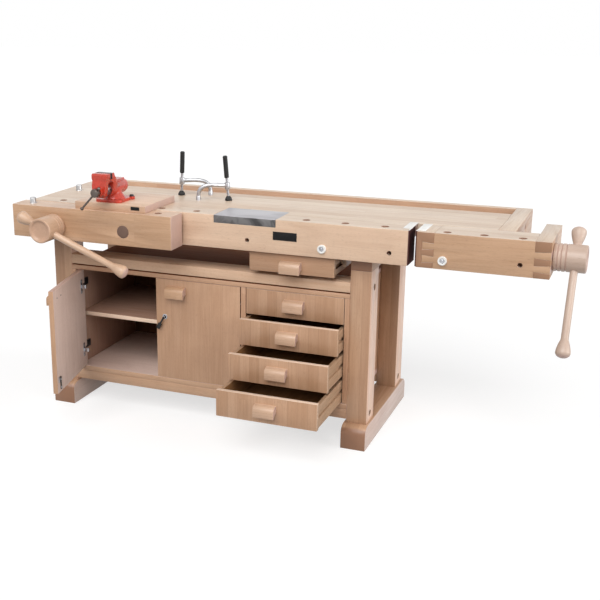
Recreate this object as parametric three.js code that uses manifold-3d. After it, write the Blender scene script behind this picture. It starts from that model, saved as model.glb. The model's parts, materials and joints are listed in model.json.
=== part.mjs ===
// Woodworking bench with a front vise, a tail vise, a door and drawer cabinet, an engineer's
// vise on its own board and two screw hold-downs. Millimetres, +Z up. While it is put together
// X = 0 is the apron end that faces the tail vise, Y = 0 the apron's front and Z = 0 the floor.
import * as THREE from 'three';
import { mergeVertices } from 'three/addons/utils/BufferGeometryUtils.js';
import Module from 'manifold-3d';

const wasm = await Module();
wasm.setup();

// Fits
const SEAM = 0.2; // glue line or seat between pieces that stay together
const RUN = 0.4; // clearance between pieces that slide or turn in one another
const FREE = 3; // clearance of a passage that carries nothing
const OVERLAP = 1; // how far joined shapes and cutters reach past a face

// Bench top
const TOP_HEIGHT = 900;
const APRON_LENGTH = 1610;
const APRON_HEIGHT = 132;
const APRON_DEPTH = 96;
const SLAB_THICKNESS = 46;
const SLAB_DEPTH = 453;
const SLAB_STEP = 140; // front of the slab beside the tail vise
const TRAY_WIDTH = 108;
const TRAY_BOARD = 12;
const TRAY_LAP = 28; // reach of the tray bottom under the slab
const TRAY_END = 32; // board that closes the tray's left end
const RAIL_THICKNESS = 35;
const RAIL_HEIGHT = 100;
const END_CAP_X = 300;
const END_CAP_THICKNESS = 62;
const END_CAP_HEIGHT = 100;
const END_BOLT = { radius: 14, depth: 16, y: 394, drop: 39 };

// Holes of the top
const DOG_HOLE_RADIUS = 15;
const DOG_ROW_Y = 40;
const DOG_ROW_START = -96;
const DOG_PITCH = 153.4;
const DOG_COUNT = 10;
const SLAB_DOG = [-1540, 270];
const SIDE_HOLE = { radius: 9, depth: 60, drop: 90, x: [-630.5, -67.6] };

// Steel anvil plate let into the front edge
const ANVIL_LEFT = -772;
const ANVIL_LENGTH = 258;
const ANVIL_DEPTH = 156;
const ANVIL_THICKNESS = 8;
const ANVIL_LIP = 31;

// Wooden vise screws, hubs and handles
const SCREW_RADIUS = 23;
const HUB_RADIUS = 50;
const HUB_LENGTH = 114;
const HUB_GROOVES = [15, 28, 44];
const GROOVE_DEPTH = 3;
const HUB_EDGE = 4;
const HUB_DISH = { depth: 9, rim: 42, step: 38, floor: 31 }; // radii of the hollow in the hub's end
const HANDLE_RADIUS = 13.5;
const KNOB = { radius: 26, length: 66, swell: 47.5, fullness: 1.6 };
const KNOB_NOSE = [[24.4, 8.6], [18.7, 2], [11.7, 0]]; // radius, distance from the end
const HANDLE_FROM_BASE = 74; // distance of the handle from the hub's base

// Front vise
const FRONT_GAP = 9;
const CHOP_LEFT = -1631;
const CHOP_LENGTH = 728;
const CHOP_THICKNESS = 101.5;
const CHOP_CHAMFER = 3.5;
const FRONT_SCREW_X = -1430;
const FRONT_SCREW_DROP = 76;
const FRONT_SCREW_END = 330;
const FRONT_NUT = { half: 29, length: 60 };
const GUIDE_X = -1116;
const GUIDE_RADIUS = 26;
const GUIDE_END = 400;
const FRONT_HANDLE = { near: 130, far: 396, angle: 22 };
const CHOP_HOLE_X = -983;
const CHOP_DOG_X = -1561;

// Tail vise
const TAIL_GAP = 32;
const TAIL_LENGTH = 472;
const TAIL_DEPTH = 137;
const TAIL_FRONT = 58;
const TAIL_JAW = 63;
const TAIL_ARM = 56;
const TAIL_ARM_REACH = 316;
const TAIL_COVER = 30;
const TAIL_SCREW_Y = 84;
const TAIL_SCREW_DROP = 68;
const TAIL_SCREW_START = 130;
const TAIL_NUT = { front: 61, drops: [104, 34] };
const TAIL_BAR = { start: 112, y: [228, 278], drops: [88, 58] };
const TAIL_HOLES_X = [135.6, 266.9, 401];
const TAIL_HOLES_Y = 30;
const TAIL_HANDLE = { near: 117, far: 360, angle: 30.4 };
const DOVETAIL = { drops: [50, 99], half: 14, flare: 4, lap: 21 };

// Jaw pads of the tail vise
const PAD_THICKNESS = 4;
const CLIP_THICKNESS = 2;
const CLIP_WIDTH = 28;
const PAD_INSET = 2;
const FIXED_CLIP_Y = [33, 147];
const MOVING_CLIP_Y = [18, 136];

// Base
const TRESTLE_X = { left: -1502, right: -185 };
const LEG_WIDTH = 82;
const LEG_DEPTH = 102;
const LEG_FRONT = 54;
const TRESTLE_DEPTH = 554;
const FOOT_WIDTH = 100;
const FOOT_HEIGHT = 96;
const FOOT_NOSE = 58;
const FOOT_OVERHANG = 43;
const BEARER_DROP = 50; // below the apron
const STRETCHER_HEIGHT = 40;
const STRETCHER_DEPTH = 100;
const UPPER_STRETCHER_DROP = 91; // below the bearers
const LOWER_STRETCHER_Z = 108;
const BOLT_RADIUS = 13;
const BOLT_DEPTH = 14;

// Cabinet
const PANEL = 20;
const BOARD = 22;
const CABINET_INSET = 28; // from the back of the back legs
const CABINET_GAP = 5; // under the upper stretcher
const LID = 19; // the cabinet's top board
const BACK_PANEL = 6;
const DRAWER_OPENING = 411;
const SHELF = { rise: 235.8, thickness: 18, setback: 42 };

// Doors and their hinges
const DOOR_THICKNESS = 20;
const DOOR_HINGE_GAP = 3;
const DOOR_GAP = 2;
const DOOR_PIVOT = { fromEdge: 12, depth: 6 }; // depth behind the door's face
const LEFT_DOOR_ANGLE = 78;
const HINGE_INSETS = { upper: 69, lower: 78.8 }; // from the door's top and bottom
const HINGE_PIN = { radius: 3, length: 30 };
const HINGE_ARM = { thickness: 6, height: 12, reach: 33 };
const HINGE_PLATE = { thickness: 6, length: 50, height: 30 };
const HINGE_SLOT = { skin: 2.4, height: 14, past: 6 };
const DOOR_PULL = { fromPivot: 271.8, drop: 51 };
const KEY = { fromPivot: 326, drop: 162, radius: 3, stem: 16, angle: 30 };
const KEY_BLADE = { width: 7, length: 34, thickness: 3 };
const KEY_BOW = { width: 16, length: 25, thickness: 6 };

// Drawers
const DRAWERS_OUT = [0, 74, 188, 306];
const DRAWER_GAP = 2;
const DRAWER_FRONT = 20;
const DRAWER_ROOM = 60; // left free behind a drawer
const DRAWER_BOX = { side: 14, back: 12, bottom: 8, lift: 6, drop: 10 };
const RUNNER = { depth: 8, height: 15, setback: 30, end: 30 };
const PULL = { width: 84, height: 46, reach: 30, lip: 8, crown: 2 };

// Drawer hung under the top
const HUNG_X = [-628, -282];
const HUNG_DROPS = [80, 5.5]; // below the apron
const HUNG_PULL_DROP = 54;
const HUNG_FRONT_Y = 20;
const HUNG_LENGTH = 380;
const HANGER_THICKNESS = 14;

// Engineer's vise on its board, measured from the board's top and the vise's middle
const BOARD_X = [-1345, -1027];
const BOARD_Y = [-85, 178];
const BOARD_THICKNESS = 28;
const VISE_X = -1206;
const VISE_AXIS = 53;
const VISE_TOP = 122;
const VISE_JAW_HALF = 35;
const VISE_GAP = 6;
const FIXED_JAW = { front: -84, top: -64, foot: -34, chamfer: 14 };
const MOVING_JAW = { depth: 35, nose: 41, chamfer: 6 };
const JAW_SHIELD = [[34, 122], [34, 104], [31, 96], [30, 62], [24, 38], [14, 26]]; // half width, height
const JAW_SIDE = { shoulder: 92, brow: 78, chin: 42, bottom: 26, tuck: 8 }; // heights of the jaw's front
const VISE_BASE = { half: 58, y: [-67, 45], height: 12, corner: 16 };
const VISE_LUG = { x: 54, y: 38, radius: 13 };
const PEDESTAL = [[47, 11], [42, 19], [33, 33], [30, 53]]; // radius, height
const BARREL = { radius: 30, y: [-56, 72], nose: [[0, 24], [3, 11], [10, 3], [18, 0]] };
const VISE_PAD = { half: 17, y: [-40, 46], height: 86 };
const JAW_RELIEF = { depth: 18, low: 82, high: 94 }; // hollow between the jaws, under their plates
const BEAM = { radius: 22, end: 22, tunnel: 40 };
const SPINDLE = { radius: 6.5, head: 17, y: [-170, 8], collar: -147, edge: 3 };
const TOMMY = { radius: 4, ball: 7, near: 32, far: 98, y: -159, angle: 226.6 };

// Hold-downs: shank and pressing foot, each as X and distance from the slab's back, and the
// angle at which the screw leans toward the shank
const HOLD_DOWNS = {
  left: { shank: [-955, 71], foot: [-1070, 118], angle: 2 },
  right: { shank: [-955, 196], foot: [-834, 158], angle: 4.5 },
};
const SHANK = { radius: 9.5, depth: 62, rise: 15 };
const HOLD_ARM = { radius: 8.5, rise: 62, crown: 8, bend: 0.2, steps: 12 };
const BOSS = { radius: 11, z: [48, 76] };
const HOLD_SCREW_RADIUS = 6;
const HOLD_GRIP = { radius: 10, z: [96, 187.9], collar: 3, shoulder: 5, end: 6 };
const HOLD_FOOT = { radius: 15, height: 20, rim: 8, edge: 2 };

// Round bench dogs
const DOG = { head: 12.5, rise: 24, short: 2, edge: 2 }; // short of the slab's underside

// Mesh fineness
const ROUND = 28;
const HOLE = 24;
const SMALL = 16;
const CURVE = 6;

// Derived positions
const TOP_LEFT = -APRON_LENGTH;
const APRON_BOTTOM = TOP_HEIGHT - APRON_HEIGHT;
const SLAB_BOTTOM = TOP_HEIGHT - SLAB_THICKNESS;
const TRAY_BACK = SLAB_DEPTH + TRAY_WIDTH;
const TRAY_BOTTOM = SLAB_BOTTOM - SEAM - TRAY_BOARD;
const TOP_BACK = TRAY_BACK + RAIL_THICKNESS;
const RAIL_BOTTOM = TOP_HEIGHT - RAIL_HEIGHT;
const END_CAP_RIGHT = END_CAP_X + END_CAP_THICKNESS;
const FRONT_SCREW_Z = TOP_HEIGHT - FRONT_SCREW_DROP;
const TAIL_SCREW_Z = TOP_HEIGHT - TAIL_SCREW_DROP;
const TAIL_NUT_Z = TAIL_NUT.drops.map((drop) => TOP_HEIGHT - drop);
const TAIL_BAR_Z = TAIL_BAR.drops.map((drop) => TOP_HEIGHT - drop);
const BEARER_BOTTOM = APRON_BOTTOM - BEARER_DROP;
const UPPER_STRETCHER_Z = BEARER_BOTTOM - UPPER_STRETCHER_DROP;
const HUNG_Z = HUNG_DROPS.map((drop) => APRON_BOTTOM - drop);
const HUNG_PULL_Z = APRON_BOTTOM - HUNG_PULL_DROP;
const CHOP_BACK = -FRONT_GAP;
const CHOP_FRONT = CHOP_BACK - CHOP_THICKNESS;
const CHOP_MIDDLE = (CHOP_FRONT + CHOP_BACK) / 2;
const TAIL_RIGHT = TAIL_GAP + TAIL_LENGTH;
const TAIL_JAW_X = TAIL_GAP + TAIL_JAW;
const TAIL_ARM_X = TAIL_RIGHT - TAIL_ARM;
const LEG_BACK = LEG_FRONT + TRESTLE_DEPTH;
const TRESTLE_INNER = [TRESTLE_X.left + LEG_WIDTH / 2 + SEAM, TRESTLE_X.right - LEG_WIDTH / 2 - SEAM];
const CABINET_FRONT = LEG_FRONT;
const CABINET_BACK = LEG_BACK - CABINET_INSET;
const CABINET_Z = [LOWER_STRETCHER_Z + STRETCHER_HEIGHT + SEAM, UPPER_STRETCHER_Z - CABINET_GAP];
const OPENING_Z = [CABINET_Z[0] + BOARD, CABINET_Z[1] - LID];
const SIDE_X = [TRESTLE_INNER[0] + PANEL, TRESTLE_INNER[1] - PANEL];
const DIVIDER_X = [SIDE_X[1] - DRAWER_OPENING - BOARD, SIDE_X[1] - DRAWER_OPENING];
const DOOR_WIDTH = (DIVIDER_X[0] - SIDE_X[0] - 2 * DOOR_HINGE_GAP - DOOR_GAP) / 2;
const DOOR_Z = [OPENING_Z[0] + DOOR_GAP / 2, OPENING_Z[1] - DOOR_GAP / 2];
const PIVOT_X = {
  left: SIDE_X[0] + DOOR_HINGE_GAP + DOOR_PIVOT.fromEdge,
  right: DIVIDER_X[0] - DOOR_HINGE_GAP - DOOR_PIVOT.fromEdge,
};
const PIVOT_Y = CABINET_FRONT + DOOR_PIVOT.depth;
const DOOR_Y = [-DOOR_PIVOT.depth, DOOR_THICKNESS - DOOR_PIVOT.depth]; // about the pivot
const HINGE_Z = { upper: DOOR_Z[1] - HINGE_INSETS.upper, lower: DOOR_Z[0] + HINGE_INSETS.lower };
const DRAWER_LENGTH = CABINET_BACK - BACK_PANEL - DRAWER_ROOM - CABINET_FRONT;
const DRAWER_PITCH = (OPENING_Z[1] - OPENING_Z[0]) / DRAWERS_OUT.length;
const DRAWER_X = [DIVIDER_X[1] + DRAWER_GAP, SIDE_X[1] - DRAWER_GAP];
const BOARD_TOP = TOP_HEIGHT + SEAM + BOARD_THICKNESS;
const onSlab = ([x, fromBack]) => [x, SLAB_DEPTH - fromBack];

// Finishes: colour, roughness, metalness
const FINISHES = {
  top: [0xe0d0be, 0.5, 0],
  beech: [0xd2b292, 0.55, 0],
  chop: [0xbe9673, 0.5, 0],
  leg: [0xb9946f, 0.55, 0],
  front: [0xbc9676, 0.55, 0],
  turned: [0xc9a27c, 0.4, 0],
  steel: [0xb9b9c0, 0.3, 1],
  blade: [0xcdc8cd, 0.35, 1],
  leather: [0x3c2a2a, 0.8, 0],
  red: [0xcd4637, 0.3, 0],
  black: [0x373737, 0.45, 0],
};

// Shape helpers
function solid(geometry) {
  geometry.deleteAttribute('normal');
  geometry.deleteAttribute('uv');
  const welded = mergeVertices(geometry, 1e-4);
  const place = welded.attributes.position;
  const point = (index) => new THREE.Vector3().fromBufferAttribute(place, index);
  const triangles = [];
  let volume = 0;
  for (let i = 0; i < welded.index.count; i += 3) {
    const [a, b, c] = [0, 1, 2].map((step) => welded.index.getX(i + step));
    if (a === b || b === c || c === a) continue;
    triangles.push(a, b, c);
    volume += point(a).dot(point(b).cross(point(c)));
  }
  if (volume < 0) triangles.reverse();
  const data = { numProp: 3, vertProperties: place.array, triVerts: new Uint32Array(triangles) };
  return new wasm.Manifold(new wasm.Mesh(data));
}

function cut(body, ...tools) {
  return tools.reduce((rest, tool) => rest.subtract(tool), body);
}

function common(body, other) {
  return body.intersect(other);
}

function join(body, ...parts) {
  return parts.reduce((whole, part) => whole.add(part), body);
}

function block([x0, x1], [y0, y1], [z0, z1]) {
  const box = new THREE.BoxGeometry(Math.abs(x1 - x0), Math.abs(y1 - y0), Math.abs(z1 - z0));
  box.translate((x0 + x1) / 2, (y0 + y1) / 2, (z0 + z1) / 2);
  return solid(box);
}

// Turn a shape made round or along Y to another axis and move that axis to its place
function place(geometry, axis, [a, b]) {
  if (axis === 'x') geometry.rotateZ(-Math.PI / 2).translate(0, a, b);
  if (axis === 'y') geometry.translate(a, 0, b);
  if (axis === 'z') geometry.rotateX(Math.PI / 2).translate(a, b, 0);
  return geometry;
}

function rod(axis, at, [from, to], radius, sides = HOLE) {
  const cylinder = new THREE.CylinderGeometry(radius, radius, to - from, sides);
  return solid(place(cylinder.translate(0, (from + to) / 2, 0), axis, at));
}

function latheShape(profile, sides) {
  return new THREE.LatheGeometry(profile.map(([r, along]) => new THREE.Vector2(r, along)), sides);
}

function turned(axis, at, profile, sides = ROUND) {
  return solid(place(latheShape(profile, sides), axis, at));
}

// Extrude an outline along X (outline in Y, Z), along Y (in X, Z) or along Z (in X, Y)
function prism(axis, outline, [from, to]) {
  const points = Array.isArray(outline) ? outline.map(([u, v]) => new THREE.Vector2(u, v)) : null;
  const shape = points ? new THREE.Shape(points) : outline;
  const settings = { depth: to - from, bevelEnabled: false, curveSegments: CURVE };
  const body = new THREE.ExtrudeGeometry(shape, settings);
  if (axis === 'x') body.rotateX(Math.PI / 2).rotateZ(Math.PI / 2).translate(from, 0, 0);
  if (axis === 'y') body.rotateX(Math.PI / 2).translate(0, to, 0);
  if (axis === 'z') body.translate(0, 0, from);
  return solid(body);
}

function piece(name, body, finish) {
  const { vertProperties, triVerts } = body.getMesh();
  const geometry = new THREE.BufferGeometry();
  geometry.setAttribute('position', new THREE.BufferAttribute(vertProperties.slice(), 3));
  geometry.setIndex(new THREE.BufferAttribute(triVerts.slice(), 1));
  geometry.computeVertexNormals();
  const [color, roughness, metalness] = FINISHES[finish];
  const mesh = new THREE.Mesh(geometry, new THREE.MeshStandardMaterial({ color, roughness, metalness }));
  mesh.name = name;
  return mesh;
}

function assembly(name, ...members) {
  const group = new THREE.Group();
  group.name = name;
  group.add(...members);
  return group;
}

const radians = THREE.MathUtils.degToRad;

// Base
function foot(side) {
  const x = TRESTLE_X[side];
  const front = LEG_FRONT - FOOT_OVERHANG;
  const back = LEG_BACK + FOOT_OVERHANG;
  const outline = new THREE.Shape();
  outline.moveTo(front, 0);
  outline.lineTo(back, 0);
  outline.lineTo(back, FOOT_NOSE);
  outline.quadraticCurveTo(back, FOOT_HEIGHT, LEG_BACK, FOOT_HEIGHT);
  outline.lineTo(LEG_FRONT, FOOT_HEIGHT);
  outline.quadraticCurveTo(front, FOOT_HEIGHT, front, FOOT_NOSE);
  return piece(`${side}_foot`, prism('x', outline, [x - FOOT_WIDTH / 2, x + FOOT_WIDTH / 2]), 'leg');
}

function leg(side, end) {
  const x = TRESTLE_X[side];
  const out = side === 'left' ? -1 : 1;
  const y0 = end === 'front' ? LEG_FRONT : LEG_BACK - LEG_DEPTH;
  const post = block(
    [x - LEG_WIDTH / 2, x + LEG_WIDTH / 2],
    [y0, y0 + LEG_DEPTH],
    [FOOT_HEIGHT + SEAM, BEARER_BOTTOM - SEAM],
  );
  const outer = x + out * LEG_WIDTH / 2;
  const reach = [outer - out * BOLT_DEPTH, outer + out * OVERLAP].sort((a, b) => a - b);
  const heights = end === 'front' ? [LOWER_STRETCHER_Z, UPPER_STRETCHER_Z] : [LOWER_STRETCHER_Z];
  const recesses = heights.map((z) => {
    return rod('x', [y0 + LEG_DEPTH / 2, z + STRETCHER_HEIGHT / 2], reach, BOLT_RADIUS, SMALL);
  });
  return piece(`${side}_${end}_leg`, cut(post, ...recesses), 'leg');
}

// The bearer steps round the apron, the slab, the tray and the back rail
function bearer(side) {
  const x = TRESTLE_X[side];
  const trayFront = SLAB_DEPTH - TRAY_LAP - SEAM;
  const outline = [
    [LEG_FRONT, BEARER_BOTTOM],
    [LEG_BACK, BEARER_BOTTOM],
    [LEG_BACK, RAIL_BOTTOM - SEAM],
    [TRAY_BACK - SEAM, RAIL_BOTTOM - SEAM],
    [TRAY_BACK - SEAM, TRAY_BOTTOM - SEAM],
    [trayFront, TRAY_BOTTOM - SEAM],
    [trayFront, SLAB_BOTTOM - SEAM],
    [APRON_DEPTH + SEAM, SLAB_BOTTOM - SEAM],
    [APRON_DEPTH + SEAM, APRON_BOTTOM - SEAM],
    [LEG_FRONT, APRON_BOTTOM - SEAM],
  ];
  return piece(`${side}_bearer`, prism('x', outline, [x - LEG_WIDTH / 2, x + LEG_WIDTH / 2]), 'leg');
}

function stretcher(name, front, z) {
  const body = block(TRESTLE_INNER, [front, front + STRETCHER_DEPTH], [z, z + STRETCHER_HEIGHT]);
  return piece(name, body, 'leg');
}

function base() {
  const sides = ['left', 'right'];
  return assembly(
    'base',
    ...sides.map(foot),
    ...sides.flatMap((side) => [leg(side, 'front'), leg(side, 'back'), bearer(side)]),
    stretcher('front_upper_stretcher', LEG_FRONT, UPPER_STRETCHER_Z),
    stretcher('front_lower_stretcher', LEG_FRONT, LOWER_STRETCHER_Z),
    stretcher('rear_lower_stretcher', LEG_BACK - STRETCHER_DEPTH, LOWER_STRETCHER_Z),
  );
}

// Bench top
function dogHole(x, y) {
  return rod('z', [x, y], [APRON_BOTTOM - OVERLAP, TOP_HEIGHT + OVERLAP], DOG_HOLE_RADIUS);
}

function anvilShape(grow) {
  const x = [ANVIL_LEFT - grow, ANVIL_LEFT + ANVIL_LENGTH + grow];
  const front = grow ? -OVERLAP : 0;
  const top = TOP_HEIGHT + (grow ? OVERLAP : 0);
  const plate = block(x, [front, ANVIL_DEPTH + grow], [TOP_HEIGHT - ANVIL_THICKNESS - grow, top]);
  return join(plate, block(x, [front, ANVIL_THICKNESS + grow], [TOP_HEIGHT - ANVIL_LIP - grow, top]));
}

function dogRow() {
  const spots = Array.from({ length: DOG_COUNT }, (_, k) => DOG_ROW_START - k * DOG_PITCH);
  return spots.filter((x) => x < ANVIL_LEFT || x > ANVIL_LEFT + ANVIL_LENGTH);
}

function apron() {
  const bar = block([TOP_LEFT, 0], [0, APRON_DEPTH], [APRON_BOTTOM, TOP_HEIGHT]);
  const through = [-OVERLAP, APRON_DEPTH + OVERLAP];
  const body = cut(
    bar,
    anvilShape(SEAM),
    ...dogRow().map((x) => dogHole(x, DOG_ROW_Y)),
    ...SIDE_HOLE.x.map((x) => {
      return rod('y', [x, TOP_HEIGHT - SIDE_HOLE.drop], [-OVERLAP, SIDE_HOLE.depth], SIDE_HOLE.radius, SMALL);
    }),
    rod('y', [FRONT_SCREW_X, FRONT_SCREW_Z], through, SCREW_RADIUS + FREE),
    rod('y', [GUIDE_X, FRONT_SCREW_Z], through, GUIDE_RADIUS + RUN, ROUND),
  );
  return piece('front_apron', body, 'beech');
}

// Runner strip that carries a drawer side: face is the X of the panel it stands on
function runner(face, into, middle, [y0, y1]) {
  const width = DRAWER_GAP + RUNNER.depth - RUN;
  const x = [face - into * OVERLAP, face + into * width];
  return block(x, [y0, y1], [middle - RUNNER.height / 2, middle + RUNNER.height / 2]);
}

function hungDrawerHangers() {
  const middle = (HUNG_Z[0] + HUNG_Z[1]) / 2;
  const y = [APRON_DEPTH + RUNNER.setback, HUNG_FRONT_Y + HUNG_LENGTH];
  return [-1, 1].flatMap((out) => {
    const face = (out < 0 ? HUNG_X[0] : HUNG_X[1]) + out * DRAWER_GAP;
    const web = block(
      [face, face + out * HANGER_THICKNESS],
      y,
      [middle - RUNNER.height, SLAB_BOTTOM + OVERLAP],
    );
    return [web, runner(face, -out, middle, y)];
  });
}

function slab() {
  const outline = [
    [TOP_LEFT, APRON_DEPTH + SEAM],
    [0, APRON_DEPTH + SEAM],
    [0, SLAB_STEP],
    [END_CAP_X - SEAM, SLAB_STEP],
    [END_CAP_X - SEAM, SLAB_DEPTH],
    [TOP_LEFT, SLAB_DEPTH],
  ];
  const shanks = Object.values(HOLD_DOWNS).map(({ shank }) => {
    return rod('z', onSlab(shank), [SLAB_BOTTOM - OVERLAP, TOP_HEIGHT + OVERLAP], SHANK.radius + RUN);
  });
  const board = cut(
    prism('z', outline, [SLAB_BOTTOM, TOP_HEIGHT]),
    anvilShape(SEAM),
    dogHole(...SLAB_DOG),
    ...shanks,
  );
  return piece('bench_top', join(board, ...hungDrawerHangers()), 'top');
}

function endCap() {
  const cap = block(
    [END_CAP_X, END_CAP_RIGHT],
    [SLAB_STEP, TOP_BACK],
    [TOP_HEIGHT - END_CAP_HEIGHT, TOP_HEIGHT],
  );
  const bolt = [END_CAP_RIGHT - END_BOLT.depth, END_CAP_RIGHT + OVERLAP];
  const body = cut(
    cap,
    rod('x', [END_BOLT.y, TOP_HEIGHT - END_BOLT.drop], bolt, END_BOLT.radius, SMALL),
    block(
      [END_CAP_X - OVERLAP, END_CAP_RIGHT + OVERLAP],
      [TAIL_BAR.y[0] - RUN, TAIL_BAR.y[1] + RUN],
      [TAIL_BAR_Z[0] - RUN, TAIL_BAR_Z[1] + RUN],
    ),
  );
  return piece('right_end_cap', body, 'beech');
}

// Tray bottom, back rail and left end as one glued piece
function tray() {
  const length = [TOP_LEFT, END_CAP_X - SEAM];
  const front = SLAB_DEPTH - TRAY_LAP;
  const bottom = block(length, [front, TRAY_BACK + OVERLAP], [TRAY_BOTTOM, TRAY_BOTTOM + TRAY_BOARD]);
  const rail = block(length, [TRAY_BACK, TOP_BACK], [RAIL_BOTTOM, TOP_HEIGHT]);
  const end = block(
    [TOP_LEFT, TOP_LEFT + TRAY_END],
    [SLAB_DEPTH + SEAM, TRAY_BACK + OVERLAP],
    [TRAY_BOTTOM, TOP_HEIGHT],
  );
  return piece('tool_tray', join(rail, bottom, end), 'beech');
}

function anvil() {
  return piece('anvil_plate', anvilShape(0), 'blade');
}

// A leather face with a clip folded over the top of its jaw; back is the jaw face, into its gap side
function jawPad(name, back, into, depth, clip) {
  const face = back + into * SEAM;
  const leather = [face, face + into * PAD_THICKNESS];
  const clipTop = [TOP_HEIGHT + SEAM, TOP_HEIGHT + SEAM + CLIP_THICKNESS];
  const pad = block(leather, [PAD_INSET, depth - PAD_INSET], [APRON_BOTTOM + PAD_INSET, clipTop[1]]);
  const flange = block([back - into * CLIP_WIDTH, face + into * PAD_THICKNESS], clip, clipTop);
  return piece(name, join(pad, flange), 'leather');
}

function top() {
  const fixedPad = jawPad('fixed_jaw_pad', 0, 1, APRON_DEPTH, FIXED_CLIP_Y);
  return assembly('top', slab(), apron(), endCap(), tray(), anvil(), fixedPad);
}

// Wooden screws: a threaded shaft's plain envelope with a turned, dished hub
function hubProfile(grooves) {
  const profile = [[HUB_RADIUS - HUB_EDGE, 0], [HUB_RADIUS, HUB_EDGE]];
  grooves.forEach((along) => {
    profile.push([HUB_RADIUS, along - GROOVE_DEPTH]);
    profile.push([HUB_RADIUS - GROOVE_DEPTH, along]);
    profile.push([HUB_RADIUS, along + GROOVE_DEPTH]);
  });
  profile.push([HUB_RADIUS, HUB_LENGTH - HUB_EDGE]);
  profile.push([HUB_RADIUS - HUB_EDGE, HUB_LENGTH]);
  profile.push([HUB_DISH.rim, HUB_LENGTH]);
  profile.push([HUB_DISH.step, HUB_LENGTH - HUB_DISH.depth / 2]);
  profile.push([HUB_DISH.floor, HUB_LENGTH - HUB_DISH.depth]);
  profile.push([0, HUB_LENGTH - HUB_DISH.depth]);
  return profile;
}

function screwProfile(base, sign, end, grooves) {
  const hub = hubProfile(grooves).map(([r, along]) => [r, base + sign * along]);
  return [[0, end], [SCREW_RADIUS, end], [SCREW_RADIUS, base], ...hub];
}

function rodToward(radius, reach, direction, at) {
  const cylinder = new THREE.CylinderGeometry(radius, radius, 2 * reach, SMALL);
  cylinder.applyQuaternion(new THREE.Quaternion().setFromUnitVectors(new THREE.Vector3(0, 1, 0), direction));
  cylinder.translate(...at);
  return solid(cylinder);
}

// Bar with a bell-shaped knob on each end, from -near to far along its own axis
function handleProfile({ near, far }) {
  const knob = [];
  const steps = CURVE + 1;
  for (let i = 0; i <= steps; i += 1) {
    const t = i / steps;
    const rise = 1 - (1 - t) ** KNOB.fullness;
    knob.push([HANDLE_RADIUS + (KNOB.radius - HANDLE_RADIUS) * rise, -KNOB.length + KNOB.swell * t]);
  }
  knob.push(...KNOB_NOSE.map(([r, fromEnd]) => [r, -fromEnd]), [0, 0]);
  const low = knob.map(([r, along]) => [r, -near - along]).reverse();
  return [...low, ...knob.map(([r, along]) => [r, far + along])];
}

function handle(name, size, direction, at) {
  const mesh = piece(name, turned('y', [0, 0], handleProfile(size), SMALL), 'turned');
  mesh.quaternion.setFromUnitVectors(new THREE.Vector3(0, 1, 0), direction);
  mesh.position.set(...at);
  return mesh;
}

// Front vise
function chop() {
  const right = CHOP_LEFT + CHOP_LENGTH;
  const outline = [
    [CHOP_LEFT + CHOP_CHAMFER, CHOP_FRONT],
    [right - CHOP_CHAMFER, CHOP_FRONT],
    [right, CHOP_FRONT + CHOP_CHAMFER],
    [right, CHOP_BACK - CHOP_CHAMFER],
    [right - CHOP_CHAMFER, CHOP_BACK],
    [CHOP_LEFT, CHOP_BACK],
    [CHOP_LEFT, CHOP_FRONT + CHOP_CHAMFER],
  ];
  const through = [CHOP_FRONT - OVERLAP, CHOP_BACK + OVERLAP];
  const body = cut(
    prism('z', outline, [APRON_BOTTOM, TOP_HEIGHT]),
    dogHole(CHOP_HOLE_X, CHOP_MIDDLE),
    dogHole(CHOP_DOG_X, CHOP_MIDDLE),
    rod('y', [FRONT_SCREW_X, FRONT_SCREW_Z], through, SCREW_RADIUS + FREE),
    rod('y', [GUIDE_X, FRONT_SCREW_Z], through, GUIDE_RADIUS + SEAM, ROUND),
  );
  return piece('front_vise_jaw', body, 'chop');
}

function frontNut() {
  const y = [APRON_DEPTH + SEAM, APRON_DEPTH + SEAM + FRONT_NUT.length];
  const x = [FRONT_SCREW_X - FRONT_NUT.half, FRONT_SCREW_X + FRONT_NUT.half];
  const body = block(x, y, [FRONT_SCREW_Z - FRONT_NUT.half, SLAB_BOTTOM - SEAM]);
  const bore = rod('y', [FRONT_SCREW_X, FRONT_SCREW_Z], [0, FRONT_SCREW_END], SCREW_RADIUS + RUN, ROUND);
  return piece('front_vise_nut', cut(body, bore), 'beech');
}

function frontVise() {
  const tilt = radians(FRONT_HANDLE.angle);
  const direction = new THREE.Vector3(Math.cos(tilt), 0, -Math.sin(tilt));
  const hubBase = CHOP_FRONT - SEAM;
  const at = [FRONT_SCREW_X, hubBase - HANDLE_FROM_BASE, FRONT_SCREW_Z];
  const screw = cut(
    turned('y', [FRONT_SCREW_X, FRONT_SCREW_Z], screwProfile(hubBase, -1, FRONT_SCREW_END, [])),
    rodToward(HANDLE_RADIUS + RUN, HUB_RADIUS + OVERLAP, direction, at),
  );
  const bar = rod('y', [GUIDE_X, FRONT_SCREW_Z], [CHOP_FRONT, GUIDE_END], GUIDE_RADIUS, ROUND);
  return assembly(
    'front_vise',
    chop(),
    piece('front_vise_screw', screw, 'turned'),
    handle('front_vise_handle', FRONT_HANDLE, direction, at),
    piece('front_vise_guide_bar', bar, 'leg'),
    frontNut(),
  );
}

// Tail vise: the front board's dovetails, root at the shoulder and wider at the end
function dovetail(root, end, drop, grow) {
  const out = Math.sign(end - root);
  const z = TOP_HEIGHT - drop;
  const narrow = DOVETAIL.half - DOVETAIL.flare + grow;
  const wide = DOVETAIL.half + grow;
  const tip = end + out * grow;
  const start = root - out * OVERLAP;
  return prism('y', [[start, z - narrow], [tip, z - wide], [tip, z + wide], [start, z + narrow]], [
    grow ? -OVERLAP : 0,
    TAIL_FRONT + grow,
  ]);
}

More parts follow.
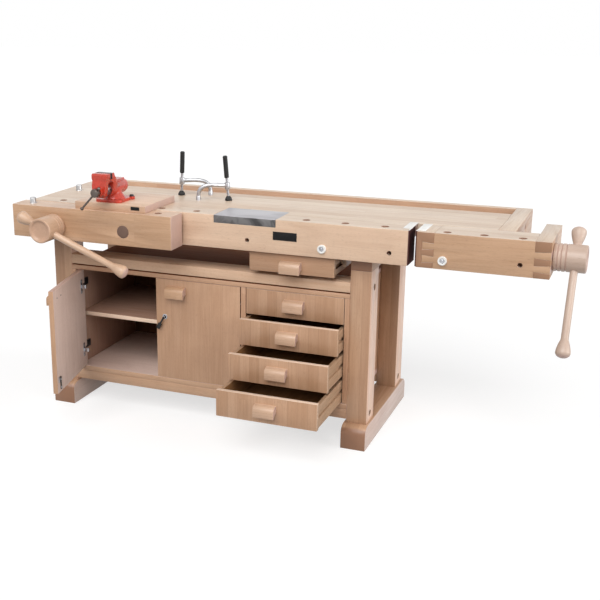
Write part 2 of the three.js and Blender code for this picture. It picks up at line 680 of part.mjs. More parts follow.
function dovetails(end, grow) {
  const root = end === 'jaw' ? TAIL_JAW_X : TAIL_ARM_X;
  const tip = end === 'jaw' ? TAIL_GAP + DOVETAIL.lap : TAIL_RIGHT + (grow ? OVERLAP : 0);
  return DOVETAIL.drops.map((drop) => dovetail(root, tip, drop, grow));
}

function tailFront() {
  const x = [TAIL_JAW_X + SEAM, TAIL_ARM_X - SEAM];
  const board = block(x, [0, TAIL_FRONT], [APRON_BOTTOM, TOP_HEIGHT]);
  const cover = block(x, [TAIL_FRONT - OVERLAP, TAIL_DEPTH], [TOP_HEIGHT - TAIL_COVER, TOP_HEIGHT]);
  const holes = TAIL_HOLES_X.map((hole) => dogHole(hole, TAIL_HOLES_Y));
  const sideHole = rod(
    'y',
    [TAIL_HOLES_X[2], TOP_HEIGHT - SIDE_HOLE.drop],
    [-OVERLAP, TAIL_HOLES_Y],
    SIDE_HOLE.radius,
    SMALL,
  );
  const body = cut(join(board, cover, ...dovetails('jaw', 0), ...dovetails('arm', 0)), ...holes, sideHole);
  return piece('tail_vise_front', body, 'beech');
}

function tailJaw() {
  const body = block([TAIL_GAP, TAIL_JAW_X], [0, TAIL_DEPTH], [APRON_BOTTOM, TOP_HEIGHT]);
  return piece('tail_vise_jaw', cut(body, ...dovetails('jaw', RUN)), 'chop');
}

function tailArm() {
  const body = block([TAIL_ARM_X, TAIL_RIGHT], [0, TAIL_ARM_REACH], [APRON_BOTTOM, TOP_HEIGHT]);
  const bore = [TAIL_ARM_X - OVERLAP, TAIL_RIGHT + OVERLAP];
  const passage = rod('x', [TAIL_SCREW_Y, TAIL_SCREW_Z], bore, SCREW_RADIUS + FREE);
  return piece('tail_vise_arm', cut(body, passage, ...dovetails('arm', RUN)), 'chop');
}

function tailNut() {
  const body = block(
    [END_CAP_X, END_CAP_RIGHT],
    [TAIL_NUT.front, SLAB_STEP - SEAM],
    TAIL_NUT_Z,
  );
  const bore = [END_CAP_X - OVERLAP, END_CAP_RIGHT + OVERLAP];
  const hole = rod('x', [TAIL_SCREW_Y, TAIL_SCREW_Z], bore, SCREW_RADIUS + RUN, ROUND);
  return piece('tail_vise_nut', cut(body, hole), 'beech');
}

function tailVise() {
  const tilt = radians(TAIL_HANDLE.angle);
  const direction = new THREE.Vector3(0, -Math.sin(tilt), -Math.cos(tilt));
  const hubBase = TAIL_RIGHT + SEAM;
  const at = [hubBase + HANDLE_FROM_BASE, TAIL_SCREW_Y, TAIL_SCREW_Z];
  const profile = screwProfile(hubBase, 1, TAIL_SCREW_START, HUB_GROOVES);
  const screw = cut(
    turned('x', [TAIL_SCREW_Y, TAIL_SCREW_Z], profile),
    rodToward(HANDLE_RADIUS + RUN, HUB_RADIUS + OVERLAP, direction, at),
  );
  const bar = block([TAIL_BAR.start, TAIL_ARM_X - SEAM], TAIL_BAR.y, TAIL_BAR_Z);
  return assembly(
    'tail_vise',
    tailFront(),
    tailJaw(),
    tailArm(),
    piece('tail_vise_screw', screw, 'turned'),
    handle('tail_vise_handle', TAIL_HANDLE, direction, at),
    tailNut(),
    piece('tail_vise_guide_bar', bar, 'leg'),
    jawPad('moving_jaw_pad', TAIL_GAP, -1, TAIL_DEPTH, MOVING_CLIP_Y),
  );
}

// Finger pull: rounded over the top, scooped underneath; face is the Y of the front it sits on
function pull(x, face, z) {
  const top = z + PULL.height / 2;
  const bottom = z - PULL.height / 2;
  const front = face - PULL.reach;
  const outline = new THREE.Shape();
  outline.moveTo(face + OVERLAP, top);
  outline.lineTo(face - PULL.lip, top);
  outline.quadraticCurveTo(front, top - PULL.crown, front, z);
  outline.lineTo(front, bottom);
  outline.lineTo(front + PULL.lip, bottom);
  outline.quadraticCurveTo(front + PULL.lip, z - PULL.lip, face, z - PULL.lip);
  outline.lineTo(face + OVERLAP, z - PULL.lip);
  return prism('x', outline, [x - PULL.width / 2, x + PULL.width / 2]);
}

// Cabinet carcass
function drawerSpan(index) {
  const high = OPENING_Z[1] - index * DRAWER_PITCH - DRAWER_GAP / 2;
  return [high - DRAWER_PITCH + DRAWER_GAP, high];
}

function drawerRunners(face, into) {
  const y = [CABINET_FRONT + RUNNER.setback, CABINET_BACK - RUNNER.end];
  return DRAWERS_OUT.map((_, index) => {
    const [low, high] = drawerSpan(index);
    return runner(face, into, (low + high) / 2, y);
  });
}

function carcass() {
  const backY = [CABINET_BACK - BACK_PANEL, CABINET_BACK];
  const y = [CABINET_FRONT, backY[0] - SEAM];
  const wall = [OPENING_Z[0] + SEAM, OPENING_Z[1] - SEAM];
  const shelfX = [SIDE_X[0] + SEAM, DIVIDER_X[0] - SEAM];
  const shelfY = [CABINET_FRONT + SHELF.setback, y[1] - SEAM];
  const shelfTop = OPENING_Z[0] + SHELF.rise;
  const rightSide = join(block([SIDE_X[1], TRESTLE_INNER[1]], y, wall), ...drawerRunners(SIDE_X[1], -1));
  const divider = join(block(DIVIDER_X, y, wall), ...drawerRunners(DIVIDER_X[1], 1));
  return [
    piece('cabinet_bottom', block(TRESTLE_INNER, y, [CABINET_Z[0], OPENING_Z[0]]), 'front'),
    piece('cabinet_top', block(TRESTLE_INNER, y, [OPENING_Z[1], CABINET_Z[1]]), 'front'),
    piece('cabinet_left_side', block([TRESTLE_INNER[0], SIDE_X[0]], y, wall), 'front'),
    piece('cabinet_right_side', rightSide, 'front'),
    piece('cabinet_divider', divider, 'front'),
    piece('cabinet_back', block(TRESTLE_INNER, backY, CABINET_Z), 'front'),
    piece('cabinet_shelf', block(shelfX, shelfY, [shelfTop - SHELF.thickness, shelfTop]), 'front'),
  ];
}

// A door drawn closed round its hinge pin; out points from the pin to the free edge
function doorBody(out) {
  const edge = -out * DOOR_PIVOT.fromEdge;
  const leaf = block([edge, edge + out * DOOR_WIDTH], DOOR_Y, DOOR_Z);
  const tools = Object.values(HINGE_Z).flatMap((z) => {
    const slot = block(
      [edge - out * OVERLAP, out * HINGE_SLOT.past],
      [DOOR_Y[0] + HINGE_SLOT.skin, DOOR_Y[1] + OVERLAP],
      [z - HINGE_SLOT.height / 2, z + HINGE_SLOT.height / 2],
    );
    const reach = HINGE_PIN.length / 2 + RUN;
    return [slot, rod('z', [0, 0], [z - reach, z + reach], HINGE_PIN.radius + RUN, SMALL)];
  });
  const grip = pull(out * DOOR_PULL.fromPivot, DOOR_Y[0], DOOR_Z[1] - DOOR_PULL.drop);
  return join(cut(leaf, ...tools), grip);
}

function leftDoor() {
  const door = piece('left_door', doorBody(1), 'front');
  door.position.set(PIVOT_X.left, PIVOT_Y, 0);
  door.rotation.z = -radians(LEFT_DOOR_ANGLE);
  return door;
}

function rightDoor() {
  const lock = [-KEY.fromPivot, DOOR_Z[1] - KEY.drop];
  const keyway = rod('y', lock, [DOOR_Y[0] - OVERLAP, DOOR_Y[1] + OVERLAP], KEY.radius + RUN, SMALL);
  const door = piece('right_door', cut(doorBody(-1), keyway), 'front');
  door.position.set(PIVOT_X.right, PIVOT_Y, 0);
  return door;
}

function doorKey() {
  const stem = rod('y', [0, 0], [-KEY.stem, DOOR_THICKNESS / 2], KEY.radius, SMALL);
  const plate = (size, from) => {
    const y = -KEY.stem + KEY_BOW.thickness / 2;
    return block(
      [-size.width / 2, size.width / 2],
      [y - size.thickness / 2, y + size.thickness / 2],
      [-from - size.length, -from],
    );
  };
  const body = join(stem, plate(KEY_BLADE, 0), plate(KEY_BOW, KEY_BLADE.length - OVERLAP));
  const key = piece('door_key', body, 'black');
  key.position.set(PIVOT_X.right - KEY.fromPivot, CABINET_FRONT, DOOR_Z[1] - KEY.drop);
  key.rotation.y = radians(KEY.angle);
  return key;
}

// Hinge: pin in the door, arm through the door's slot, plate on the carcass
function hinge(side, level) {
  const out = side === 'left' ? 1 : -1;
  const wall = side === 'left' ? SIDE_X[0] : DIVIDER_X[0];
  const x = PIVOT_X[side];
  const z = HINGE_Z[level];
  const half = HINGE_ARM.thickness / 2;
  const rise = [z - HINGE_ARM.height / 2, z + HINGE_ARM.height / 2];
  const back = PIVOT_Y + HINGE_ARM.reach;
  const seat = wall + out * SEAM;
  const face = seat + out * HINGE_PLATE.thickness;
  const body = join(
    rod('z', [x, PIVOT_Y], [z - HINGE_PIN.length / 2, z + HINGE_PIN.length / 2], HINGE_PIN.radius, SMALL),
    block([x - half, x + half], [PIVOT_Y, back], rise),
    block([seat, x + out * half], [back - half, back + half], rise),
    block([seat, face], [back - half - OVERLAP, back - half + HINGE_PLATE.length], [
      z - HINGE_PLATE.height / 2,
      z + HINGE_PLATE.height / 2,
    ]),
  );
  return piece(`${side}_door_${level}_hinge`, body, 'steel');
}

// Open box behind a front board, with a runner groove along each side
function drawerBody(x, z, front, length, pullHeight) {
  const middle = (z[0] + z[1]) / 2;
  const face = front + DRAWER_FRONT;
  const back = front + length;
  const box = DRAWER_BOX;
  const boxZ = [z[0] + box.lift, z[1] - box.drop];
  const outer = block(x, [face - OVERLAP, back], boxZ);
  const inner = block([x[0] + box.side, x[1] - box.side], [face, back - box.back], [
    boxZ[0] + box.bottom,
    boxZ[1] + OVERLAP,
  ]);
  const slot = RUNNER.height / 2 + RUN;
  const grooves = [-1, 1].map((out) => {
    const edge = out < 0 ? x[0] : x[1];
    return block([edge - out * RUNNER.depth, edge + out * OVERLAP], [face, back + OVERLAP], [
      middle - slot,
      middle + slot,
    ]);
  });
  const board = block(x, [front, face], z);
  return join(cut(outer, inner, ...grooves), board, pull((x[0] + x[1]) / 2, front, pullHeight));
}

function drawer(out, index) {
  const span = drawerSpan(index);
  const middle = (span[0] + span[1]) / 2;
  const body = drawerBody(DRAWER_X, span, CABINET_FRONT, DRAWER_LENGTH, middle);
  const mesh = piece(`drawer_${index + 1}`, body, 'front');
  mesh.position.y = -out;
  return mesh;
}

function cabinet() {
  const hinges = ['left', 'right'].flatMap((side) => [hinge(side, 'upper'), hinge(side, 'lower')]);
  const drawers = DRAWERS_OUT.map(drawer);
  return assembly('cabinet', ...carcass(), leftDoor(), rightDoor(), doorKey(), ...hinges, ...drawers);
}

function hungDrawer() {
  const body = drawerBody(HUNG_X, HUNG_Z, HUNG_FRONT_Y, HUNG_LENGTH, HUNG_PULL_Z);
  return piece('under_bench_drawer', body, 'front');
}

// Engineer's vise
function viseBody() {
  const { half, y, height, corner } = VISE_BASE;
  const plan = new THREE.Shape();
  plan.absarc(half - corner, y[0] + corner, corner, -Math.PI / 2, 0);
  plan.absarc(half - corner, y[1] - corner, corner, 0, Math.PI / 2);
  plan.absarc(-half + corner, y[1] - corner, corner, Math.PI / 2, Math.PI);
  plan.absarc(-half + corner, y[0] + corner, corner, Math.PI, Math.PI * 1.5);
  const lift = [SEAM, height];
  const lugs = [-1, 1].map((out) => rod('z', [out * VISE_LUG.x, VISE_LUG.y], lift, VISE_LUG.radius, SMALL));
  const middle = (y[0] + y[1]) / 2;
  const neck = [[0, PEDESTAL[0][1]], ...PEDESTAL, [0, VISE_AXIS]];
  const [barrelFront, barrelBack] = BARREL.y;
  const nose = BARREL.nose.map(([inset, fromEnd]) => [BARREL.radius - inset, barrelBack - fromEnd]);
  const barrel = [[0, barrelFront], [BARREL.radius, barrelFront], ...nose, [0, barrelBack]];
  const jaw = [
    [FIXED_JAW.front + JAW_RELIEF.depth, VISE_AXIS - BARREL.radius],
    [FIXED_JAW.front + JAW_RELIEF.depth, JAW_RELIEF.low],
    [FIXED_JAW.front, JAW_RELIEF.high],
    [FIXED_JAW.front, VISE_TOP],
    [FIXED_JAW.top, VISE_TOP],
    [FIXED_JAW.top + FIXED_JAW.chamfer / 2, VISE_TOP - FIXED_JAW.chamfer],
    [FIXED_JAW.foot, VISE_PAD.height],
    [FIXED_JAW.foot, VISE_AXIS - BARREL.radius],
  ];
  const whole = join(
    prism('z', plan, lift),
    ...lugs,
    turned('z', [0, middle], neck),
    turned('y', [0, VISE_AXIS], barrel),
    block([-VISE_PAD.half, VISE_PAD.half], VISE_PAD.y, [VISE_AXIS, VISE_PAD.height]),
    common(prism('x', jaw, [-half, half]), shield([FIXED_JAW.front, FIXED_JAW.foot])),
  );
  const tunnel = rod('y', [0, VISE_AXIS], [FIXED_JAW.front, BEAM.tunnel], BEAM.radius + RUN);
  return piece('engineers_vise_body', cut(whole, tunnel), 'red');
}

// Outline that both jaws show from the front, as a solid between two depths
function shield(depths) {
  const left = JAW_SHIELD.map(([half, height]) => [-half, height]);
  const right = JAW_SHIELD.map(([half, height]) => [half, height]).reverse();
  return prism('y', [...left, ...right], depths);
}

function viseJaw() {
  const back = FIXED_JAW.front - VISE_GAP;
  const { depth, nose, chamfer } = MOVING_JAW;
  const { shoulder, brow, chin, bottom, tuck } = JAW_SIDE;
  const side = [
    [back - JAW_RELIEF.depth, bottom],
    [back - JAW_RELIEF.depth, JAW_RELIEF.low],
    [back, JAW_RELIEF.high],
    [back, VISE_TOP],
    [back - depth + chamfer, VISE_TOP],
    [back - depth, VISE_TOP - chamfer],
    [back - depth, shoulder],
    [back - nose, brow],
    [back - nose, chin],
    [back - depth + tuck, bottom],
  ];
  const head = common(prism('x', side, [-VISE_BASE.half, VISE_BASE.half]), shield([back - nose, back]));
  const boss = rod('y', [0, VISE_AXIS], [SPINDLE.collar, back - depth], SPINDLE.head + SPINDLE.edge, SMALL);
  const beam = rod('y', [0, VISE_AXIS], [back - JAW_RELIEF.depth - OVERLAP, BEAM.end], BEAM.radius);
  const bore = [SPINDLE.collar - OVERLAP, BEAM.end + OVERLAP];
  const hole = rod('y', [0, VISE_AXIS], bore, SPINDLE.radius + RUN, SMALL);
  return piece('engineers_vise_jaw', cut(join(head, boss, beam), hole), 'red');
}

function tommyDirection() {
  const angle = radians(TOMMY.angle);
  return new THREE.Vector3(Math.cos(angle), 0, Math.sin(angle));
}

function viseSpindle() {
  const { radius, head, y, collar, edge } = SPINDLE;
  const seat = collar - SEAM;
  const profile = [[0, y[0]], [head - edge, y[0]], [head, y[0] + edge]];
  profile.push([head, seat - edge], [head - edge, seat], [radius, seat], [radius, y[1]], [0, y[1]]);
  const bore = rodToward(TOMMY.radius + RUN, head + OVERLAP, tommyDirection(), [0, TOMMY.y, VISE_AXIS]);
  return piece('engineers_vise_spindle', cut(turned('y', [0, VISE_AXIS], profile, SMALL), bore), 'steel');
}

function tommyBar() {
  const { radius, ball, near, far, y } = TOMMY;
  const start = Math.asin(radius / ball);
  const knob = Array.from({ length: CURVE }, (_, i) => {
    const angle = start + (Math.PI - start) * i / (CURVE - 1);
    return [Math.max(0, ball * Math.sin(angle)), -ball - ball * Math.cos(angle)];
  });
  knob[CURVE - 1][0] = 0;
  const low = knob.map(([r, along]) => [r, -near - along]).reverse();
  const profile = [...low, ...knob.map(([r, along]) => [r, far + along])];
  const bar = piece('engineers_vise_tommy_bar', turned('y', [0, 0], profile, SMALL), 'steel');
  bar.quaternion.setFromUnitVectors(new THREE.Vector3(0, 1, 0), tommyDirection());
  bar.position.set(0, y, VISE_AXIS);
  return bar;
}

function engineersVise() {
  const vise = assembly('engineers_vise', viseBody(), viseJaw(), viseSpindle(), tommyBar());
  vise.position.set(VISE_X, 0, BOARD_TOP);
  const board = block(BOARD_X, BOARD_Y, [TOP_HEIGHT + SEAM, BOARD_TOP]);
  return assembly('vise_and_board', piece('vise_board', board, 'beech'), vise);
}

// Turn a profile round an axis that stands at x and leans from Z toward -X
function leaning(profile, x, lean) {
  return solid(place(latheShape(profile, SMALL), 'z', [0, 0]).rotateY(-lean).translate(x, 0, 0));
}

// Screw hold-downs, drawn with the shank on the Z axis and the foot toward +X
function holdDownArm(reach, lean) {
  const { radius, rise, crown, bend, steps } = HOLD_ARM;
  const path = new THREE.CubicBezierCurve3(
    new THREE.Vector3(0, 0, SHANK.rise - radius / 2),
    new THREE.Vector3(0, 0, rise),
    new THREE.Vector3(reach * bend, 0, rise + crown),
    new THREE.Vector3(reach - rise * Math.tan(lean), 0, rise),
  );
  const section = new THREE.Shape();
  section.absarc(0, 0, radius, 0, Math.PI * 2);
  const sweep = new THREE.ExtrudeGeometry(section, { steps, extrudePath: path, curveSegments: CURVE });
  const [low, high] = BOSS.z;
  const column = (r, past) => {
    return leaning([[0, low - past], [r, low - past], [r, high + past], [0, high + past]], reach, lean);
  };
  const shank = rod('z', [0, 0], [-SHANK.depth, SHANK.rise], SHANK.radius, SMALL);
  return cut(join(solid(sweep), shank, column(BOSS.radius, 0)), column(HOLD_SCREW_RADIUS + RUN, radius));
}

function holdDownScrew(reach, lean) {
  const { radius, height, rim, edge } = HOLD_FOOT;
  const [low, high] = HOLD_GRIP.z;
  const foot = [
    [0, SEAM],
    [radius - edge, SEAM],
    [radius, SEAM + edge],
    [radius, rim],
    [HOLD_SCREW_RADIUS, height],
    [0, height],
  ];
  const stem = [
    [0, rim],
    [HOLD_SCREW_RADIUS, rim],
    [HOLD_SCREW_RADIUS, low],
    [HOLD_GRIP.radius, low + HOLD_GRIP.collar],
    [HOLD_GRIP.radius, high - HOLD_GRIP.shoulder],
    [HOLD_GRIP.end, high],
    [0, high],
  ];
  return join(turned('z', [reach, 0], foot, SMALL), leaning(stem, reach, lean));
}

function holdDown(side) {
  const shank = onSlab(HOLD_DOWNS[side].shank);
  const foot = onSlab(HOLD_DOWNS[side].foot);
  const lean = radians(HOLD_DOWNS[side].angle);
  const reach = Math.hypot(foot[0] - shank[0], foot[1] - shank[1]);
  const group = assembly(
    `${side}_hold_down`,
    piece(`${side}_hold_down_arm`, holdDownArm(reach, lean), 'steel'),
    piece(`${side}_hold_down_screw`, holdDownScrew(reach, lean), 'black'),
  );
  group.position.set(shank[0], shank[1], TOP_HEIGHT);
  group.rotation.z = Math.atan2(foot[1] - shank[1], foot[0] - shank[0]);
  return group;
}

function benchDog(name, x, y) {
  const shaft = DOG_HOLE_RADIUS - RUN;
  const depth = SLAB_THICKNESS - DOG.short;
  const profile = [
    [0, -depth],
    [shaft - DOG.edge, -depth],
    [shaft, -depth + DOG.edge],
    [shaft, -OVERLAP],
    [DOG.head, OVERLAP],
    [DOG.head, DOG.rise - DOG.edge],
    [DOG.head - DOG.edge, DOG.rise],
    [0, DOG.rise],
  ];
  const dog = piece(name, turned('z', [0, 0], profile, HOLE), 'steel');
  dog.position.set(x, y, TOP_HEIGHT);
  return dog;
}

const bench = assembly(
  'bench',
  base(),
  top(),
  frontVise(),
  tailVise(),
  cabinet(),
  hungDrawer(),
  engineersVise(),
  holdDown('left'),
  holdDown('right'),
  benchDog('chop_dog', CHOP_DOG_X, CHOP_MIDDLE),
  benchDog('top_dog', ...SLAB_DOG),
);

// Origin at the middle of the bottom of the bounding box
const model = assembly('woodworking_bench', bench);
model.updateMatrixWorld(true);
const bounds = new THREE.Box3().setFromObject(model, true);
const centre = bounds.getCenter(new THREE.Vector3());
bench.position.set(-centre.x, -centre.y, -bounds.min.z);

export default model;
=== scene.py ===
"""Looks of a woodworking bench: oiled beech, wooden screws, steel fittings and a red vise."""

import json
import math

import bmesh
import bpy
from bpy.props import FloatProperty, FloatVectorProperty, PointerProperty
from mathutils import Matrix, Vector


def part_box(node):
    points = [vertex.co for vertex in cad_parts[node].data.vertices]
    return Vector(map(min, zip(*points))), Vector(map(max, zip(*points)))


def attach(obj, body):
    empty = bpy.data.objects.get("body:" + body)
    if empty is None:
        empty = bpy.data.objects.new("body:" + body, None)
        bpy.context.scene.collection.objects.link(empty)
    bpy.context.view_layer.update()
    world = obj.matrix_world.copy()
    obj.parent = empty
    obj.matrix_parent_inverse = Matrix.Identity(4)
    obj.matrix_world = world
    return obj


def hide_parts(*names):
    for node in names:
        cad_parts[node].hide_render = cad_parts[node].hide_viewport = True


bl_info = {
    "name": "Bench Looks",
    "version": (1, 0, 0),
    "blender": (4, 5, 0),
    "location": "3D View > Sidebar > Bench",
    "description": "Dresses a woodworking bench with timber, steel and paint",
    "category": "Object",
}

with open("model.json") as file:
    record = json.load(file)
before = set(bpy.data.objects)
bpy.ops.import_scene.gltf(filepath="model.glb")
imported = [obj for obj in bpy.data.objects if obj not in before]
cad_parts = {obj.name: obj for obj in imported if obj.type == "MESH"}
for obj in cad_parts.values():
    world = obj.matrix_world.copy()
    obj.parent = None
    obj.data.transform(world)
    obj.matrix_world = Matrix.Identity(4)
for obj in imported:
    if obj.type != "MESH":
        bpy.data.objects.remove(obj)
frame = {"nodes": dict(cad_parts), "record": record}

MM = 0.001
X = Vector((1, 0, 0))
Y = Vector((0, 1, 0))
Z = Vector((0, 0, 1))
BEHAVIOUR = frame["record"]["behaviour"]
BODIES = {node: body for body, nodes in BEHAVIOUR["bodies"].items() for node in nodes}
JOINTS = {joint["name"]: joint for joint in BEHAVIOUR["joints"]}
CORNER = Vector((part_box("front_apron")[1].x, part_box("front_apron")[0].y, 0))

# Places and lengths in millimetres, with places measured as spot() does
LEFT_PIN = (-1425.8, 60)
RIGHT_PIN = (-694.2, 60)
DOOR_FACE = 6  # from the pin out to the door's face
DOOR_BACK = 14  # from the pin in to the door's inside
HINGE_LEVELS = (533, 250)
LOCK = (-1020.2, 54, 440)
PULL_REACH = 30  # of a pull in front of its board
FRONT_BOARD = 20  # thickness of a drawer's front
DRAWER_FLOOR = 30  # faces lower in a drawer than this that look up are its floor
HOLE_INSET = 9  # faces farther inside a board than this are the walls of its holes
SLACK = 0.2  # for telling on which side of a plane a face lies
TOP_LEVEL = 900
HOLD_DOWN_FEET = {"left": (-1070, 335), "right": (-834, 295)}
FOOT_GAP = 0.2  # of a hold-down's foot above the top
VISE_X, VISE_LEVEL = -1206, 928.2
FRONT_SCREW = (-1430, -110.7, 824)  # base of the hub
TAIL_SCREW = (504.2, 84, 832)  # base of the hub
HANDLE_LEVEL = 74  # of the handle above the base of its hub
HANDLE_BORE = 14.0  # radius of the hole in a hub
CAMERA_PLACE = (845.758, -3633.9195, 1705.0709)

DOOR_SWING = math.radians(78)
OPEN_DOOR = Vector((math.cos(DOOR_SWING), -math.sin(DOOR_SWING), 0))
FRONT_TILT = math.radians(22)
FRONT_BAR = Vector((math.cos(FRONT_TILT), 0, -math.sin(FRONT_TILT)))
TAIL_TILT = math.radians(30.4)
TAIL_BAR = Vector((0, math.sin(TAIL_TILT), math.cos(TAIL_TILT)))
CAMERA_TURN = (23.056, 73.332, -0.131)  # heading, tilt and roll in degrees
CAMERA_SHIFT = (0.1159, 0.0155)
SMOOTH_ANGLE = math.radians(30)
THREAD_STEPS = 28  # in one turn
FLOOR_SIZE = 30  # in metres, out from the middle


def mm(x, y, z):
    """Millimetres as a vector in metres."""
    return Vector((x, y, z)) * MM


def spot(x, y, z):
    """A place in millimetres from the apron's right front corner and the floor."""
    return CORNER + mm(x, y, z)


def shade(red, green, blue):
    """A screen colour, 0 to 255, as the linear colour that the shaders take."""

    def linear(value):
        value /= 255
        return value / 12.92 if value <= 0.04045 else ((value + 0.055) / 1.055) ** 2.4

    return (linear(red), linear(green), linear(blue))


def colour(name, description, rgb):
    default = shade(*rgb)
    return FloatVectorProperty(
        name=name, description=description, default=default, size=3, min=0, max=1, subtype="COLOR"
    )


def length(name, description, default):
    return FloatProperty(name=name, description=description, default=default, min=0, unit="LENGTH")


def amount(name, description, default, top=1.0):
    return FloatProperty(name=name, description=description, default=default, min=0, max=top)


class BenchLooks(bpy.types.PropertyGroup):
    """Sizes and colours of the bench's finishes."""

    top_pale: colour("Top, pale", "Pale staves of the bench top", (224, 204, 183))
    top_deep: colour("Top, deep", "Deep staves of the bench top", (206, 179, 154))
    apron_pale: colour("Apron, pale", "Pale grain of apron, rail and vise board", (228, 197, 170))
    apron_deep: colour("Apron, deep", "Deep grain of apron, rail and vise board", (209, 172, 143))
    jaw_pale: colour("Jaw, pale", "Pale grain of the vise jaws", (206, 168, 136))
    jaw_deep: colour("Jaw, deep", "Deep grain of the vise jaws", (180, 139, 105))
    base_pale: colour("Base, pale", "Pale grain of the base, tray and end cap", (198, 161, 131))
    base_deep: colour("Base, deep", "Deep grain of the base, tray and end cap", (174, 135, 106))
    # Painted light: the legs' right sides are paler than their fronts, for the light from the
    # right.
    side_pale: colour("Leg sides, pale", "Pale grain of the legs' right sides", (240, 202, 177))
    side_deep: colour("Leg sides, deep", "Deep grain of the legs' right sides", (226, 184, 158))
    front_pale: colour("Fronts, pale", "Pale grain of doors, drawers and panels", (200, 161, 131))
    front_deep: colour("Fronts, deep", "Deep grain of doors, drawers and panels", (177, 136, 104))
    box_pale: colour("Boxes, pale", "Pale grain of drawer boxes", (198, 167, 138))
    box_deep: colour("Boxes, deep", "Deep grain of drawer boxes", (174, 141, 112))
    turned_pale: colour("Turned, pale", "Pale grain of the front hub and its bars", (213, 180, 153))
    turned_deep: colour("Turned, deep", "Deep grain of the front hub and its bars", (195, 159, 130))
    pull_pale: colour("Pulls, pale", "Pale grain of the drawer pulls", (209, 175, 148))
    pull_deep: colour("Pulls, deep", "Deep grain of the drawer pulls", (189, 152, 124))
    tail_pale: colour("Tail screw, pale", "Pale grain of the tail hub and handle", (209, 186, 170))
    tail_deep: colour("Tail screw, deep", "Deep grain of the tail hub and handle", (191, 166, 149))
    # On the feet's right sides this colour is painted light: a paler copy of the feet's timber.
    lining_pale: colour("Lining, pale", "Pale veneer of door, floor and feet", (216, 192, 180))
    lining_deep: colour("Lining, deep", "Deep veneer of door, floor and feet", (204, 178, 165))
    # In the dog holes this colour is painted shade: the hole walls are darker than the boards.
    inner_pale: colour("Inside, pale", "Pale veneer in the cabinet and dog holes", (184, 148, 128))
    inner_deep: colour("Inside, deep", "Deep veneer in the cabinet and dog holes", (166, 128, 108))
    # Painted shade: the cabinet's lid is dark for the shade under the bench top.
    lid_pale: colour("Lid, pale", "Pale grain of the cabinet's lid", (144, 94, 67))
    lid_deep: colour("Lid, deep", "Deep grain of the cabinet's lid", (120, 74, 50))
    # Painted shade: the drawer insides are dark for the shade inside the boxes.
    well_pale: colour("Drawer insides, pale", "Pale grain of the drawer insides", (134, 96, 62))
    well_deep: colour("Drawer insides, deep", "Deep grain of the drawer insides", (112, 77, 47))
    # Painted shade: the bay's walls, the right door's hinge edge and the back's inside are dark for
    # the shade in gaps and behind the fronts.
    dim_pale: colour("Bare insides, pale", "Pale grain behind the doors and drawers", (108, 74, 54))
    dim_deep: colour("Bare insides, deep", "Deep grain behind the doors and drawers", (88, 58, 40))
    edge_pale: colour("Cabinet edges, pale", "Pale front edges of the cabinet", (200, 160, 130))
    edge_deep: colour("Cabinet edges, deep", "Deep front edges of the cabinet", (178, 136, 106))
    end_grain: colour("End grain", "Sawn ends of the timber", (206, 175, 164))
    # Painted highlight: edges of the drawer fronts and the shelf's front edge are near white for
    # the light they catch.
    rim_pale: colour("Rims, pale", "Pale edges of drawer fronts and shelf", (246, 222, 200))
    rim_deep: colour("Rims, deep", "Deep edges of drawer fronts and shelf", (236, 206, 180))
    foot_end: colour("Foot ends", "Oiled ends of the feet", (144, 103, 78))
    jaw_end: colour("Tail vise ends", "Oiled ends of the tail vise's jaw and arm", (160, 120, 92))
    turned_end: colour("Turned ends", "Turned ends of hubs and handles", (206, 168, 142))
    bar_end: colour("Guide bar end", "Oiled end of the front guide bar", (80, 57, 51))
    pore: colour("Pores", "Flecks and glue lines in the timber", (122, 82, 58))
    steel: colour("Steel", "Bright steel of fittings", (186, 186, 190))
    satin: colour("Satin steel", "Satin steel of the hold-downs", (186, 186, 189))
    dog: colour("Dog steel", "Pale turned steel of the bench dogs", (188, 188, 189))
    dark_steel: colour("Dark steel", "Jaw plates, hinges and bolts", (72, 71, 73))
    anvil: colour("Anvil steel", "Ground steel of the anvil plate", (190, 188, 192))
    anvil_lip: colour("Anvil lip", "Mill skin on the lip of the anvil plate", (118, 116, 116))
    spindle: colour("Spindle steel", "Worn steel of the red vise's screw and bar", (104, 95, 90))
    red: colour("Red paint", "Gloss paint of the engineer's vise", (190, 56, 35))
    black: colour("Black grip", "Black moulded grips and feet", (26, 26, 27))
    plate: colour("Bare plates", "Black enamel of the bare plates", (16, 16, 17))
    leather: colour("Leather", "Leather of the jaw pads", (82, 50, 48))
    nylon: colour("Nylon", "White nylon clips and pegs", (240, 238, 234))
    ease: length("Eased edge", "Width of the rounded edges of sawn timber", 0.0016)
    cast_edge: length("Cast edge", "Width of the rounded edges of the red casting", 0.0035)
    stave: length("Top stave", "Width of the staves of the bench top", 0.056)
    front_stave: length("Front stave", "Width of the staves of doors and drawer fronts", 0.040)
    thread_pitch: length("Thread pitch", "Pitch of the wooden screws", 0.012)


class BenchStage(bpy.types.PropertyGroup):
    """Floor, light and camera."""

    floor: colour("Floor", "Colour of the floor", (170, 170, 170))
    lift: amount("Floor lift", "How far the floor is lifted toward white", 0.66)
    key: amount("Key light", "Strength of the broad light from the front", 2.55, 20)
    side: amount("Side light", "Strength of the broad light from the right", 2.1, 20)
    spread: FloatProperty(
        name="Spread",
        description="Angle that each light fills",
        default=math.radians(50),
        subtype="ANGLE",
    )
    fill: amount("Back light", "Strength of the soft light from behind on the left", 0.4, 20)
    sky: amount("Surround", "Strength of the light from all around", 0.16, 4)
    lens: FloatProperty(name="Lens", description="Focal length", default=62.13, unit="CAMERA")


# Node graphs


